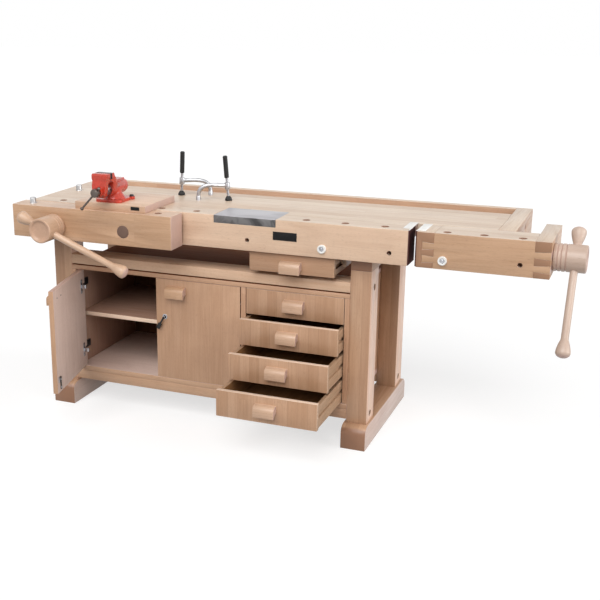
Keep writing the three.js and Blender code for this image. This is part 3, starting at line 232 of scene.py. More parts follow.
class Graph:
    """A node tree while it is wired up."""

    def __init__(self, tree):
        self.tree = tree

    def add(self, kind, inputs=None, **settings):
        node = self.tree.nodes.new(kind)
        for key, value in settings.items():
            setattr(node, key, value)
        for key, value in (inputs or {}).items():
            self.put(node.inputs[key], value)
        return node

    def put(self, socket, value):
        if isinstance(value, bpy.types.NodeSocket):
            self.tree.links.new(value, socket)
        else:
            socket.default_value = value

    def math(self, operation, first, second=0.0):
        return self.add("ShaderNodeMath", {0: first, 1: second}, operation=operation).outputs[0]

    def between(self, value, low, high, to_low=0.0, to_high=1.0):
        """A smooth step as a value goes from low to high."""
        inputs = {"Value": value, "From Min": low, "From Max": high}
        inputs.update({"To Min": to_low, "To Max": to_high})
        node = self.add("ShaderNodeMapRange", inputs, interpolation_type="SMOOTHSTEP")
        return node.outputs["Result"]

    def mix(self, factor, first, second):
        """Two colours, mixed by a factor."""
        inputs = {0: factor, 6: first, 7: second}
        return self.add("ShaderNodeMix", inputs, data_type="RGBA").outputs[2]

    def group(self, name, inputs):
        return self.add("ShaderNodeGroup", inputs, node_tree=bpy.data.node_groups[name]).outputs

    def vector_math(self, operation, first, second):
        inputs = {0: first, 1: second}
        return self.add("ShaderNodeVectorMath", inputs, operation=operation).outputs[0]

    def stretch(self, vector, scale, offset=None):
        """A vector scaled by axis and then shifted."""
        scaled = self.vector_math("MULTIPLY", vector, scale)
        return scaled if offset is None else self.vector_math("ADD", scaled, offset)

    def noise(self, vector, scale, detail=2.0, distortion=0.0):
        inputs = {"Vector": vector, "Scale": scale, "Detail": detail, "Distortion": distortion}
        return self.add("ShaderNodeTexNoise", inputs).outputs["Fac"]


def new_group(name, inputs, outputs):
    """An empty node group as its graph, what it is given and what it results in."""
    tree = bpy.data.node_groups.new(name, "ShaderNodeTree")
    for label in inputs:
        kind = "NodeSocketVector" if label in ("Vector", "Normal") else "NodeSocketFloat"
        tree.interface.new_socket(label, in_out="INPUT", socket_type=kind)
    for label in outputs:
        tree.interface.new_socket(label, in_out="OUTPUT", socket_type="NodeSocketFloat")
    graph = Graph(tree)
    return graph, graph.add("NodeGroupInput").outputs, graph.add("NodeGroupOutput").inputs


def timber_figure():
    """Staves, growth rings, pores, glue lines and end grain of timber whose grain runs along X."""
    ring_scale, ring_count = (1.1, 16.0, 16.0), 46.0
    fibre_scale, pore_scale = (7.0, 210.0, 210.0), (60.0, 900.0, 900.0)
    seam_edge, seam_core = 0.0011, 0.0002
    inputs = ("Vector", "Normal", "Stave", "Length")
    outputs = ("Tone", "Grain", "Fleck", "Seam", "End")
    graph, given, result = new_group("timber_figure", inputs, outputs)
    x, y = graph.add("ShaderNodeSeparateXYZ", {0: given["Vector"]}).outputs[:2]
    across = graph.math("DIVIDE", y, given["Stave"])
    row = graph.math("FLOOR", across)
    shift = graph.add("ShaderNodeTexWhiteNoise", {"W": row}, noise_dimensions="1D").outputs["Value"]
    start = graph.math("MULTIPLY", shift, 5.0)
    along = graph.math("ADD", graph.math("DIVIDE", x, given["Length"]), start)
    cell = graph.add("ShaderNodeCombineXYZ", {0: row, 1: graph.math("FLOOR", along)}).outputs[0]
    chance = graph.add("ShaderNodeTexWhiteNoise", {"Vector": cell}, noise_dimensions="3D").outputs
    offset = graph.stretch(chance["Color"], (9.0, 9.0, 9.0))
    place = graph.math("FRACT", across)
    nearest = graph.math("MINIMUM", place, graph.math("SUBTRACT", 1.0, place))
    edge = graph.math("MULTIPLY", nearest, given["Stave"])
    rings = graph.noise(graph.stretch(given["Vector"], ring_scale, offset), 1.0, 2.0, 0.35)
    bands = graph.math("SINE", graph.math("MULTIPLY", rings, ring_count))
    fibre = graph.noise(graph.stretch(given["Vector"], fibre_scale, offset), 1.0, 4.0)
    pores = graph.noise(graph.stretch(given["Vector"], pore_scale, offset), 1.0, 1.0)
    slope = graph.add("ShaderNodeSeparateXYZ", {0: given["Normal"]}).outputs[0]
    graph.put(result["Tone"], chance["Value"])
    graph.put(result["Grain"], graph.math("ADD", graph.math("MULTIPLY", bands, 0.12), fibre))
    graph.put(result["Fleck"], graph.between(pores, 0.6, 0.74))
    graph.put(result["Seam"], graph.between(edge, seam_edge, seam_core))
    graph.put(result["End"], graph.between(graph.math("ABSOLUTE", slope), 0.55, 0.85))


def wear_marks():
    """Soft smudges and fine scratches, both from 0 to 1."""
    graph, given, result = new_group("wear_marks", ("Vector", "Scale"), ("Smudge", "Scratch"))
    broad = graph.noise(given["Vector"], given["Scale"], 3.0, 0.6)
    fine = graph.stretch(given["Vector"], (1.0, 14.0, 14.0))
    lines = graph.noise(fine, graph.math("MULTIPLY", given["Scale"], 9.0), 2.0, 1.2)
    graph.put(result["Smudge"], graph.between(broad, 0.38, 0.72))
    graph.put(result["Scratch"], graph.between(lines, 0.62, 0.72))


def mapped(graph, rows, seed):
    """Object coordinates and normal turned so that the grain lies along X."""
    coords = graph.add("ShaderNodeTexCoord").outputs
    turn = Matrix(rows).to_euler()
    place = (seed * 0.37, seed * 0.011, seed * 0.23)
    turned = {"Vector": coords["Object"], "Rotation": turn, "Location": place}
    facing = {"Vector": coords["Normal"], "Rotation": turn}
    vector = graph.add("ShaderNodeMapping", turned)
    normal = graph.add("ShaderNodeMapping", facing, vector_type="VECTOR")
    return vector.outputs[0], normal.outputs[0]


def new_material(name):
    """A new material as its graph and the inputs of its shader."""
    material = bpy.data.materials.new(name)
    material.use_nodes = True
    return Graph(material.node_tree), material.node_tree.nodes["Principled BSDF"].inputs


def bump(graph, height, strength, distance):
    inputs = {"Height": height, "Strength": strength, "Distance": distance}
    return graph.add("ShaderNodeBump", inputs).outputs[0]


def solid(rgb, factor=1.0):
    """A colour made darker or brighter, with the alpha that sockets take."""
    return (*(value * factor for value in rgb), 1)


def wood(name, kind, grain, across, stave, board, spread, seed, rough=0.34, end=None, gloss=0.5):
    """Oiled beech with its grain along one axis and its staves side by side along another."""
    looks = bpy.context.scene.bench_looks
    graph, shader = new_material(name)
    vector, normal = mapped(graph, (grain, across, grain.cross(across)), seed)
    inputs = {"Vector": vector, "Normal": normal, "Stave": stave, "Length": board}
    figure = graph.group("timber_figure", inputs)
    marks = graph.group("wear_marks", {"Vector": vector, "Scale": 4.0})
    pore = solid(looks.pore)
    deep, pale = (solid(getattr(looks, kind + tone)) for tone in ("_deep", "_pale"))
    tone = graph.math("MULTIPLY", graph.math("SUBTRACT", figure["Tone"], 0.5), spread)
    grained = graph.math("MULTIPLY", graph.math("SUBTRACT", figure["Grain"], 0.5), 0.6)
    level = graph.between(graph.math("ADD", graph.math("ADD", tone, grained), 0.5), 0.0, 1.0)
    base = graph.mix(level, deep, pale)
    for mark, share in ((figure["Fleck"], 0.30), (figure["Seam"], 0.28), (marks["Smudge"], 0.13)):
        base = graph.mix(graph.math("MULTIPLY", mark, share), base, pore)
    sawn = solid(end or looks.end_grain)
    ends = graph.mix(graph.math("MULTIPLY", figure["Grain"], 0.3), sawn, pore)
    base = graph.mix(graph.math("MULTIPLY", figure["End"], 0.9), base, ends)
    graph.put(shader["Base Color"], base)
    sheen = graph.between(figure["Grain"], 0.2, 0.8, rough + 0.08, rough - 0.06)
    graph.put(shader["Roughness"], sheen)
    graph.put(shader["Specular IOR Level"], gloss)
    height = graph.math("SUBTRACT", figure["Grain"], graph.math("MULTIPLY", figure["Seam"], 1.5))
    graph.put(shader["Normal"], bump(graph, height, 0.10, 0.0006))


def metal(name, base, rough, scale=40, metallic=1.0, brushed=(1.0, 1.0, 1.0), worn=0.72):
    """Bare metal with dull smudges and fine scratches."""
    graph, shader = new_material(name)
    vector = graph.stretch(graph.add("ShaderNodeTexCoord").outputs["Object"], brushed)
    marks = graph.group("wear_marks", {"Vector": vector, "Scale": scale})
    graph.put(shader["Base Color"], graph.mix(marks["Smudge"], solid(base), solid(base, worn)))
    graph.put(shader["Roughness"], graph.between(marks["Smudge"], 0.0, 1.0, rough, rough + 0.14))
    graph.put(shader["Metallic"], metallic)
    graph.put(shader["Normal"], bump(graph, marks["Scratch"], 0.06, 0.0003))


def painted(name, base, rough, scale, depth, coat=0.0, gloss=0.5):
    """Paint, moulded plastic or leather: one colour with an uneven skin."""
    graph, shader = new_material(name)
    coords = graph.add("ShaderNodeTexCoord").outputs["Object"]
    skin = graph.noise(coords, scale, 3.0)
    smudge = graph.group("wear_marks", {"Vector": coords, "Scale": 26.0})["Smudge"]
    worn = (*(min(1.0, value * 1.25 + 0.01) for value in base), 1)
    tone = graph.mix(graph.math("MULTIPLY", smudge, 0.5), solid(base), worn)
    hollow = graph.between(skin, 0.55, 0.75)
    graph.put(shader["Base Color"], graph.mix(hollow, tone, solid(base, 0.8)))
    graph.put(shader["Roughness"], graph.between(smudge, 0.0, 1.0, rough, rough + 0.12))
    graph.put(shader["Coat Weight"], coat)
    graph.put(shader["Specular IOR Level"], gloss)
    graph.put(shader["Normal"], bump(graph, skin, 0.25, depth))


def finishes():
    """Every material of the bench by a short name, made on the first call."""
    if "timber_figure" not in bpy.data.node_groups:
        timber_figure()
        wear_marks()
        make_finishes(bpy.context.scene.bench_looks)
    return {material.name: material for material in bpy.data.materials}


def make_finishes(looks):
    """Timber is told as: colours, grain, across, stave, board, spread, seed and roughness."""
    wide = 0.4  # more than any board, so no seam shows
    wood("top_staves", "top", X, Y, looks.stave, 1.1, 0.7, 1)
    wood("apron_board", "apron", X, Y, 0.048, 1.3, 0.5, 2)
    # Painted light: upward faces of apron, jaws, end cap and tray take the top's paler colour.
    wood("apron_top", "top", X, Y, 0.048, 1.3, 0.5, 30)
    wood("cross_top", "top", Y, X, wide, 0.9, 0.4, 31)
    wood("end_board", "base", Y, X, wide, 0.8, 0.3, 3)
    wood("jaw_board", "jaw", X, Z, wide, 1.6, 0.3, 4)
    wood("tail_board", "jaw", X, Y, 0.048, 1.3, 0.3, 26)
    wood("cross_jaw", "jaw", Y, Z, wide, 0.9, 0.3, 5, end=looks.jaw_end)
    wood("leg_post", "base", Z, X, 0.044, 1.2, 0.5, 6)
    # Painted light: the legs' right sides, paler for the light from the right.
    wood("leg_side", "side", Z, Y, 0.052, 1.2, 0.5, 38)
    wood("tray_board", "base", X, Y, 0.1, 1.4, 0.4, 39)
    # Painted shade: the walls of dog holes and bores are darker than the boards around them.
    wood("hole_wall", "inner", Z, X, wide, 1.0, 0.3, 41, 0.7, gloss=0.1)
    wood("bay_floor", "lining", X, Y, wide, 1.0, 0.2, 40, 0.6)
    wood("foot_beam", "base", Y, X, 0.052, 1.1, 0.5, 7, end=looks.foot_end)
    # Painted light: the feet's right sides, paler for the light from the right.
    wood("foot_side", "lining", Y, Z, 0.052, 1.1, 0.5, 42, end=looks.foot_end)
    wood("upper_rail", "apron", X, Y, 0.052, 1.4, 0.5, 34, 0.6, gloss=0.1)
    # Painted highlight: the ends of the hung drawer's front take the near-white rim colour.
    wood("hung_front", "front", X, Z, wide, 1.2, 0.3, 35, end=looks.rim_pale)
    wood("long_rail", "base", X, Y, 0.052, 1.4, 0.5, 8)
    # Painted highlight: the top and bottom edges of the drawer fronts take the near-white rim
    # colour.
    wood("front_staves", "front", Z, X, looks.front_stave, 1.1, 0.5, 9, end=looks.rim_pale)
    wood("open_door_staves", "front", Z, OPEN_DOOR, looks.front_stave, 1.1, 0.5, 10)
    # Painted shade: the lid is dark for the shade under the bench top.
    wood("lid_board", "lid", X, Y, 0.09, 1.2, 0.4, 11, 0.8, gloss=0.05)
    wood("lid_edge", "edge", X, Y, wide, 1.2, 0.4, 27, 0.5)
    wood("upright_edge", "edge", Z, X, wide, 1.2, 0.4, 12, 0.5)
    wood("back_panel", "front", Z, X, 0.09, 1.0, 0.5, 13, 0.5)
    # Painted shade: the inside of the cabinet's back.
    wood("back_inside", "dim", Z, X, 0.09, 1.0, 0.5, 37, 0.6, gloss=0.2)
    wood("side_panel", "front", Z, Y, 0.09, 1.0, 0.5, 36)
    # Painted shade: the drawer bay's walls and the right door's hinge edge, dark as the gaps.
    wood("bay_lining", "dim", Z, Y, wide, 1.0, 0.3, 29, 0.7, gloss=0.1)
    wood("drawer_side", "box", Y, Z, wide, 0.8, 0.4, 14, end=looks.box_pale)
    # Painted shade: the insides of the drawers are dark for the shade in them.
    wood("drawer_inside", "well", Y, X, wide, 0.8, 0.4, 32, 0.7, end=looks.well_pale, gloss=0.1)
    # Painted highlight: the right edges of the drawer fronts.
    wood("front_rim", "rim", Z, X, wide, 0.8, 0.4, 33)
    wood("door_lining", "lining", Z, OPEN_DOOR, wide, 1.0, 0.2, 20, 0.6)
    wood("side_lining", "inner", Z, Y, wide, 1.0, 0.2, 21, 0.6)
    wood("cross_lining", "inner", X, Y, wide, 1.0, 0.2, 22, 0.6)
    # Painted highlight: the shelf's front edge.
    wood("shelf_edge", "rim", X, Y, wide, 1.0, 0.2, 28, 0.5)
    wood("door_veneer", "front", Z, X, wide, 1.0, 0.3, 23)
    wood("guide_round", "turned", Y, X, wide, 1.2, 0.3, 24, end=looks.bar_end)
    wood("turned_across", "turned", Y, X, wide, 1.2, 0.3, 15, end=looks.turned_end)
    wood("turned_along", "tail", X, Y, wide, 1.2, 0.3, 16)
    wood("pull_block", "pull", X, Z, wide, 0.7, 0.4, 17)
    # The door pulls take the darker jaw colour; on the open left door this is painted shade.
    wood("door_pull", "jaw", X, Z, wide, 0.7, 0.4, 25)
    wood("front_bar", "turned", FRONT_BAR, Y, wide, 1.2, 0.3, 18)
    wood("tail_bar", "tail", TAIL_BAR, X, wide, 1.2, 0.3, 19)
    metal("bright_steel", looks.steel, 0.24)
    metal("dark_steel", looks.dark_steel, 0.42, metallic=0.9)
    metal("satin_steel", looks.satin, 0.3)
    metal("worn_steel", looks.spindle, 0.36)
    metal("dog_steel", looks.dog, 0.34)
    metal("ground_steel", looks.anvil, 0.4, 14, 0.8, (0.3, 1.0, 1.0))
    metal("anvil_skin", looks.anvil_lip, 0.55, 24, 0.6, worn=0.35)
    painted("red_gloss", looks.red, 0.24, 260, 0.0004, 0.25)
    painted("black_moulded", looks.black, 0.5, 420, 0.0006, gloss=0.3)
    painted("black_enamel", looks.plate, 0.35, 300, 0.0001, gloss=0.2)
    painted("brown_leather", looks.leather, 0.85, 320, 0.0012, gloss=0.15)
    painted("white_nylon", looks.nylon, 0.42, 180, 0.0002)


# Shapes


def meshed(name, bm):
    """A shape as a mesh, with the shape freed."""
    mesh = bpy.data.meshes.new(name)
    bm.to_mesh(mesh)
    bm.free()
    return mesh


def linked(name, data):
    """A new object in the scene."""
    obj = bpy.data.objects.new(name, data)
    bpy.context.scene.collection.objects.link(obj)
    return obj


def copied(node):
    """The solid's own mesh as clean flat faces."""
    bm = bmesh.new()
    bm.from_mesh(frame["nodes"][node].data)
    bmesh.ops.remove_doubles(bm, verts=bm.verts, dist=5e-6)
    bmesh.ops.dissolve_limit(bm, angle_limit=math.radians(0.8), verts=bm.verts, edges=bm.edges)
    return bm


def eased(bm, width, segments=2, angle=32, shortest=3.0):
    """Rounds the sharp edges that are long enough to take it."""
    sharp = [
        edge
        for edge in bm.edges
        if edge.is_manifold
        and edge.calc_face_angle(0) > math.radians(angle)
        and edge.calc_length() > width * shortest
    ]
    shape = {"offset": width, "offset_type": "OFFSET", "segments": segments, "profile": 0.5}
    bmesh.ops.bevel(bm, geom=sharp, affect="EDGES", clamp_overlap=True, material=-1, **shape)
    return bm


def lathe(profile, steps=64, finish=0):
    """A profile of (radius, height) in millimetres turned round the Z axis."""
    bm = bmesh.new()
    points = [bm.verts.new((radius * MM, 0, height * MM)) for radius, height in profile]
    edges = [bm.edges.new(pair) for pair in zip(points, points[1:])]
    bmesh.ops.spin(
        bm, geom=points + edges, axis=Z, cent=(0, 0, 0), angle=math.tau, steps=steps, use_merge=True
    )
    bmesh.ops.remove_doubles(bm, verts=bm.verts, dist=1e-6)
    bmesh.ops.recalc_face_normals(bm, faces=bm.faces)
    for face in bm.faces:
        face.material_index = finish
    return bm


def bar(low, high, ease):
    """A block between two corners in metres with eased edges."""
    bm = bmesh.new()
    size = Matrix.Diagonal((*(high - low), 1))
    bmesh.ops.create_cube(bm, size=1, matrix=Matrix.Translation((low + high) / 2) @ size)
    return eased(bm, ease, shortest=1.0)


def helix(radius, crest, pitch, turns, width):
    """The ridge of a screw thread about the Z axis, in millimetres, from z = 0 upward."""
    bm = bmesh.new()
    foot, ridge = width / 2, width / 2 * 0.35
    outline = ((radius, -foot), (crest, -ridge), (crest, ridge), (radius, foot))
    points = [bm.verts.new((r * MM, 0, h * MM)) for r, h in outline]
    edges = [bm.edges.new(pair) for pair in zip(points, points[1:] + points[:1])]
    steps = turns * THREAD_STEPS
    bmesh.ops.spin(
        bm,
        geom=points + edges,
        axis=Z,
        cent=(0, 0, 0),
        dvec=(0, 0, pitch * MM * turns / steps),
        angle=math.tau * turns,
        steps=steps,
    )
    bmesh.ops.holes_fill(bm, edges=bm.edges, sides=4)
    bmesh.ops.recalc_face_normals(bm, faces=bm.faces)
    return bm


def put(bm, place, toward=Z):
    """Stands a shape drawn on the Z axis at a place, with its axis along a direction."""
    aim = Z.rotation_difference(Vector(toward)).to_matrix().to_4x4()
    bmesh.ops.transform(bm, matrix=Matrix.Translation(place) @ aim, verts=bm.verts)
    return bm


def together(*shapes):
    """Several shapes as the loose shells of one."""
    whole = shapes[0]
    for shape in shapes[1:]:
        scrap = meshed("scrap", shape)
        whole.from_mesh(scrap)
        bpy.data.meshes.remove(scrap)
    return whole


def cut_out(bm, tool):
    """Cuts one closed shape out of another."""
    objects = [linked("scrap", meshed("scrap", shape)) for shape in (bm, tool)]
    cut = objects[0].modifiers.new("Cut", "BOOLEAN")
    cut.operation = "DIFFERENCE"
    cut.solver = "EXACT"
    cut.object = objects[1]
    result = bmesh.new()
    result.from_mesh(objects[0].evaluated_get(bpy.context.evaluated_depsgraph_get()).data)
    for mesh in [obj.data for obj in objects]:
        bpy.data.meshes.remove(mesh)
    return result


def piece(name, bm, materials, body, nodes=()):
    """Makes an object of a shape, gives it its finishes and lets it ride on a body."""
    mesh = meshed(name, bm)
    for key in materials:
        mesh.materials.append(finishes()[key])
    mesh.polygons.foreach_set("use_smooth", [True] * len(mesh.polygons))
    mesh.set_sharp_from_angle(angle=SMOOTH_ANGLE)
    obj = linked(name, mesh)
    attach(obj, body)
    if nodes:
        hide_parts(*nodes)


def dressed(node, materials, width, segments=2, choose=None, angle=32):
    """An eased copy of a solid with its finishes, in the solid's place."""
    bm = eased(copied(node), width, segments, angle)
    if choose:
        bm.normal_update()
        for face in bm.faces:
            face.material_index = choose(face.calc_center_median(), face.normal)
    piece(node + "_dressed", bm, materials, BODIES[node], (node,))


def socket_bolt(radius, height):
    """A round bolt head with a socket, standing on z = 0."""
    outline = [(0, height * 0.45), (radius * 0.46, height * 0.45), (radius * 0.5, height)]
    outline += [(radius * 0.9, height), (radius, height * 0.85), (radius, 0), (0, 0)]
    return lathe(outline, 32)


def washer(bore, radius, thickness=1.6):
    """A flat ring lying on z = 0."""
    return lathe([(bore, 0), (radius, 0), (radius, thickness), (bore, thickness), (bore, 0)], 32)


def dome_screw(radius, height, finish=0):
    """A raised screw head with a driver recess, standing on z = 0."""
    outline = [(0, height * 0.35), (radius * 0.3, height * 0.45), (radius * 0.34, height * 0.98)]
    outline += [(radius * math.sin(a), height * math.cos(a) * 0.98) for a in (0.6, 0.85, 1.1, 1.35)]
    outline += [(radius, 0), (0, 0)]
    return lathe(outline, 32, finish)


# Operators


class BENCH_OT_timber(bpy.types.Operator):
    """Gives the top, base and cabinet eased edges and their timber"""

    bl_idname = "bench.timber"
    bl_label = "Timber"

    boards = {
        "bench_top": "top_staves",
        "front_vise_nut": "jaw_board",
        "tail_vise_nut": "jaw_board",
        "tail_vise_guide_bar": "jaw_board",
        "front_vise_guide_bar": "guide_round",
        "vise_board": "apron_board",
        "left_bearer": "foot_beam",
        "right_bearer": "foot_beam",
        "front_upper_stretcher": "upper_rail",
        "front_lower_stretcher": "long_rail",
        "rear_lower_stretcher": "long_rail",
    }
    # Upward faces take a paler finish than their sides, as painted light; hole walls a darker one,
    # as painted shade.
    tops = {
        "front_apron": ("apron_board", "apron_top", "hole_wall"),
        "front_vise_jaw": ("jaw_board", "apron_board", "hole_wall"),
        "tail_vise_front": ("tail_board", "apron_top", "hole_wall"),
        "right_end_cap": ("end_board", "cross_top"),
        "tool_tray": ("tray_board", "apron_top"),
        "tail_vise_jaw": ("cross_jaw", "cross_top"),
        "tail_vise_arm": ("cross_jaw", "cross_top"),
    }
    # The third finish of legs and feet is painted light on their right sides.
    leg, foot = ("leg_post", "leg_post", "leg_side"), ("foot_beam", "foot_beam", "foot_side")
    panels = {
        "left_front_leg": leg,
        "left_back_leg": leg,
        "right_front_leg": leg,
        "right_back_leg": leg,
        "left_foot": foot,
        "right_foot": foot,
        "cabinet_bottom": ("bay_floor", "long_rail"),
        "cabinet_top": ("lid_board", "lid_edge"),
        "cabinet_shelf": ("cross_lining", "shelf_edge"),
        "cabinet_left_side": ("side_panel", "upright_edge", "side_lining"),
        "cabinet_right_side": ("bay_lining", "upright_edge", "side_panel"),
        "cabinet_divider": ("side_lining", "upright_edge", "bay_lining"),
        "cabinet_back": ("back_panel", "back_inside"),
    }

    def execute(self, context):
        width = context.scene.bench_looks.ease
        for node, finish in self.boards.items():
            dressed(node, (finish,), width)
        for node, finish in self.tops.items():
            dressed(node, finish, width, choose=self.top_face(node, finish))
        for node, finish in self.panels.items():
            dressed(node, finish, width, choose=self.panel_face(finish))
        return {"FINISHED"}

    def top_face(self, node, finish):
        """What looks up takes the second finish, paler as painted light, and walls of holes the
        third if there is one, darker as painted shade.
        """
        low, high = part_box(node)
        inset = HOLE_INSET * MM

        def choose(middle, normal):
            if normal.z > 0.5:
                return 1
            deep = all(low[axis] + inset < middle[axis] < high[axis] - inset for axis in (0, 1))
            return 2 if len(finish) > 2 and deep and normal.z > -0.5 else 0

        return choose

    def panel_face(self, finish):
        """What looks to the front takes the second finish, and to the right the third if any."""

        def choose(middle, normal):
            if normal.y < -0.5:
                return 1
            return 2 if len(finish) > 2 and normal.x > 0.5 else 0

        return choose


class BENCH_OT_fronts(bpy.types.Operator):
    """Gives the doors and drawers their staved fronts, pulls and boxes"""

    bl_idname = "bench.fronts"
    bl_label = "Doors and drawers"

    def execute(self, context):
        width = context.scene.bench_looks.ease
        for node in ("drawer_1", "drawer_2", "drawer_3", "drawer_4", "under_bench_drawer"):
            front = "hung_front" if node == "under_bench_drawer" else "front_staves"
            finish = (front, "pull_block", "drawer_side", "front_rim", "drawer_inside")
            dressed(node, finish, width, choose=self.drawer_face(node))
        finish = ("door_veneer", "door_pull", "bay_lining")
        dressed("right_door", finish, width, choose=self.right_door_face())
        finish = ("open_door_staves", "door_pull", "door_lining")
        dressed("left_door", finish, width, choose=self.left_door_face())
        return {"FINISHED"}

    def drawer_face(self, node):
        """In order: board, pull, outside of the box, right edge of the board as a painted
        highlight, inside of the box in painted shade.
        """
        low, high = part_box(node)
        face = low.y + PULL_REACH * MM

        def choose(middle, normal):
            if middle.y < face - SLACK * MM:
                return 1
            if middle.y < face + (FRONT_BOARD + SLACK) * MM:
                return 3 if normal.x > 0.5 and normal.y > -0.5 else 0
            inward = normal.dot((low + high) / 2 - middle) > 0
            floor = normal.z > 0.5 and middle.z < low.z + DRAWER_FLOOR * MM
            return 4 if floor or (inward and abs(normal.z) < 0.5) else 2

        return choose

    def right_door_face(self):
        """In order: board, pull, right edge in painted shade."""
        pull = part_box("right_door")[0].y + (PULL_REACH - SLACK) * MM
        return lambda middle, normal: 1 if middle.y < pull else 2 * int(normal.x > 0.9)

    def left_door_face(self):
        """In order: board, pull, inside."""
        pin = spot(*LEFT_PIN, 0)
        out = Vector((-math.sin(DOOR_SWING), -math.cos(DOOR_SWING), 0))

        def choose(middle, normal):
            depth = (middle - pin).dot(out)
            if depth > (DOOR_FACE + SLACK) * MM:
                return 1
            return 2 if depth < (SLACK - DOOR_BACK) * MM else 0

        return choose


class BENCH_OT_screws(bpy.types.Operator):
    """Turns the wooden vise screws, their hubs and their handles"""

    bl_idname = "bench.screws"
    bl_label = "Vise screws"

    def hub(self):
        """Grooved hub from its base at z = 0 to its dished end at z = 114."""
        outline = [(44, 0), (47.5, 0.8), (49.4, 2.4), (50, 5)]
        groove = ((50, -3.2), (49.2, -2.4), (47, 0), (49.2, 2.4), (50, 3.2))
        for level in (15, 28, 44):
            outline += [(radius, level + along) for radius, along in groove]
        outline += [(50, 108), (49.5, 111), (48, 113.2), (46, 114), (43, 114), (40.5, 112.6)]
        outline += [(38, 109.5), (35, 107), (31, 105.6), (20, 105), (0, 105)]
        return outline

    def screw(self, length, pitch, place, axis, across):
        """Threaded shaft and a hub bored for its handle."""
        tip, run_out, fullness, reach = 8, 6, 0.72, 60
        core = [(0, -length), (18, -length), (20.4, 3 - length), (20.4, -2), (23, 0)]
        shaft = put(lathe(core + self.hub(), 72), place, axis)
        hole = lathe([(0, -reach), (HANDLE_BORE, -reach), (HANDLE_BORE, reach), (0, reach)], 56)
        shaft = cut_out(shaft, put(hole, place + HANDLE_LEVEL * MM * axis, across))
        thread = helix(20.0, 22.9, pitch, int((length - tip - run_out) / pitch), pitch * fullness)
        put(thread, mm(0, 0, tip - length))
        return together(shaft, put(thread, place, axis))

    def handle(self, near, far):
        """Bar with a bell-shaped knob on each end, from -near to far."""
        thin, thick, long, swell, steps = 13.5, 26, 66, 47.5, 14
        knob = []
        for step in range(steps + 1):
            part = step / steps
            knob.append((thin + (thick - thin) * (1 - (1 - part) ** 1.6), -long + swell * part))
        for angle in range(10, 90, 8):
            turn = math.radians(angle)
            knob.append((thick * math.cos(turn), (long - swell) * (math.sin(turn) - 1)))
        knob.append((0, 0))
        low = [(radius, -near - along) for radius, along in reversed(knob)]
        return lathe(low + [(radius, far + along) for radius, along in knob], 56)

    def execute(self, context):
        pitch = context.scene.bench_looks.thread_pitch / MM
        front, tail = spot(*FRONT_SCREW), spot(*TAIL_SCREW)
        level = HANDLE_LEVEL * MM
        shapes = (
            self.screw(440.7, pitch, front, -Y, FRONT_BAR),
            self.screw(374.2, pitch, tail, X, -TAIL_BAR),
            put(self.handle(130, 396), front - level * Y, FRONT_BAR),
            put(self.handle(117, 360), tail + level * X, -TAIL_BAR),
        )
        rows = (
            ("front_screw", "turned_across", "front_vise_screw"),
            ("tail_screw", "turned_along", "tail_vise_screw"),
            ("front_handle", "front_bar", "front_vise_handle"),
            ("tail_handle", "tail_bar", "tail_vise_handle"),
        )
        for shape, (body, finish, node) in zip(shapes, rows):
            piece(body + "_turned", shape, (finish,), body, (node,))
        return {"FINISHED"}


class BENCH_OT_jaw_linings(bpy.types.Operator):
    """Gives the anvil plate its ground steel and the tail jaws their leather and clips"""

    bl_idname = "bench.jaw_linings"
    bl_label = "Anvil and jaw linings"

    def execute(self, context):
        dressed(
            "anvil_plate",
            ("ground_steel", "anvil_skin"),
            2.2 * MM,
            3,
            choose=lambda middle, normal: int(normal.z < 0.3),
        )
        clip = spot(0, 0, TOP_LEVEL + SLACK / 2).z
        finish = ("brown_leather", "white_nylon")
        for node in ("fixed_jaw_pad", "moving_jaw_pad"):
            dressed(node, finish, 0.7 * MM, choose=lambda middle, normal: int(middle.z > clip))
        return {"FINISHED"}


class BENCH_OT_engineers_vise(bpy.types.Operator):
    """Finishes the red vise: rounded casting, jaw plates, bolts, spindle and tommy bar"""

    bl_idname = "bench.engineers_vise"
    bl_label = "Engineer's vise"

    def at(self, x, y, z):
        """A place in millimetres from the vise's middle, the apron's face and the board's top."""
        return spot(VISE_X + x, y, VISE_LEVEL + z)

    def execute(self, context):
        edge = context.scene.bench_looks.cast_edge
        for node in ("engineers_vise_body", "engineers_vise_jaw"):
            dressed(node, ("red_gloss", "bright_steel"), edge, 3, choose=self.bare(node))
        half, low, high = 34.4, 99, 122.3
        for name, near, far, body in (
            ("fixed_jaw_plate", -84.1, -79, "bench"),
            ("moving_jaw_plate", -95, -89.9, "engineers_jaw"),
        ):
            plate = bar(self.at(-half, near, low), self.at(half, far, high), 0.8 * MM)
            piece(name, plate, ("dark_steel",), body)
        lugs = [self.at(x, 38, 12) for x in (-54, 54)]
        bolts = [put(socket_bolt(8, 7), lug) for lug in lugs]
        washers = [put(washer(4, 10.5), lug) for lug in lugs]
        piece("vise_bolts", together(*bolts, *washers), ("dark_steel",), "bench")
        dressed("engineers_vise_spindle", ("worn_steel",), 0.3 * MM)
        dressed("engineers_vise_tommy_bar", ("worn_steel",), 0.4 * MM)
        return {"FINISHED"}

    def bare(self, node):
        """Which faces are bare steel: the moving jaw's round slide, and the fixed jaw's top."""
        axis, top, back = self.at(0, 0, 53), self.at(0, 0, 121), self.at(0, -107.8, 0)
        slide = 22.5 * MM
        if node == "engineers_vise_body":
            return lambda middle, normal: int(middle.z > top.z)

        def choose(middle, normal):
            off = math.hypot(middle.x - axis.x, middle.z - axis.z)
            return int(middle.y > back.y and off < slide)

        return choose


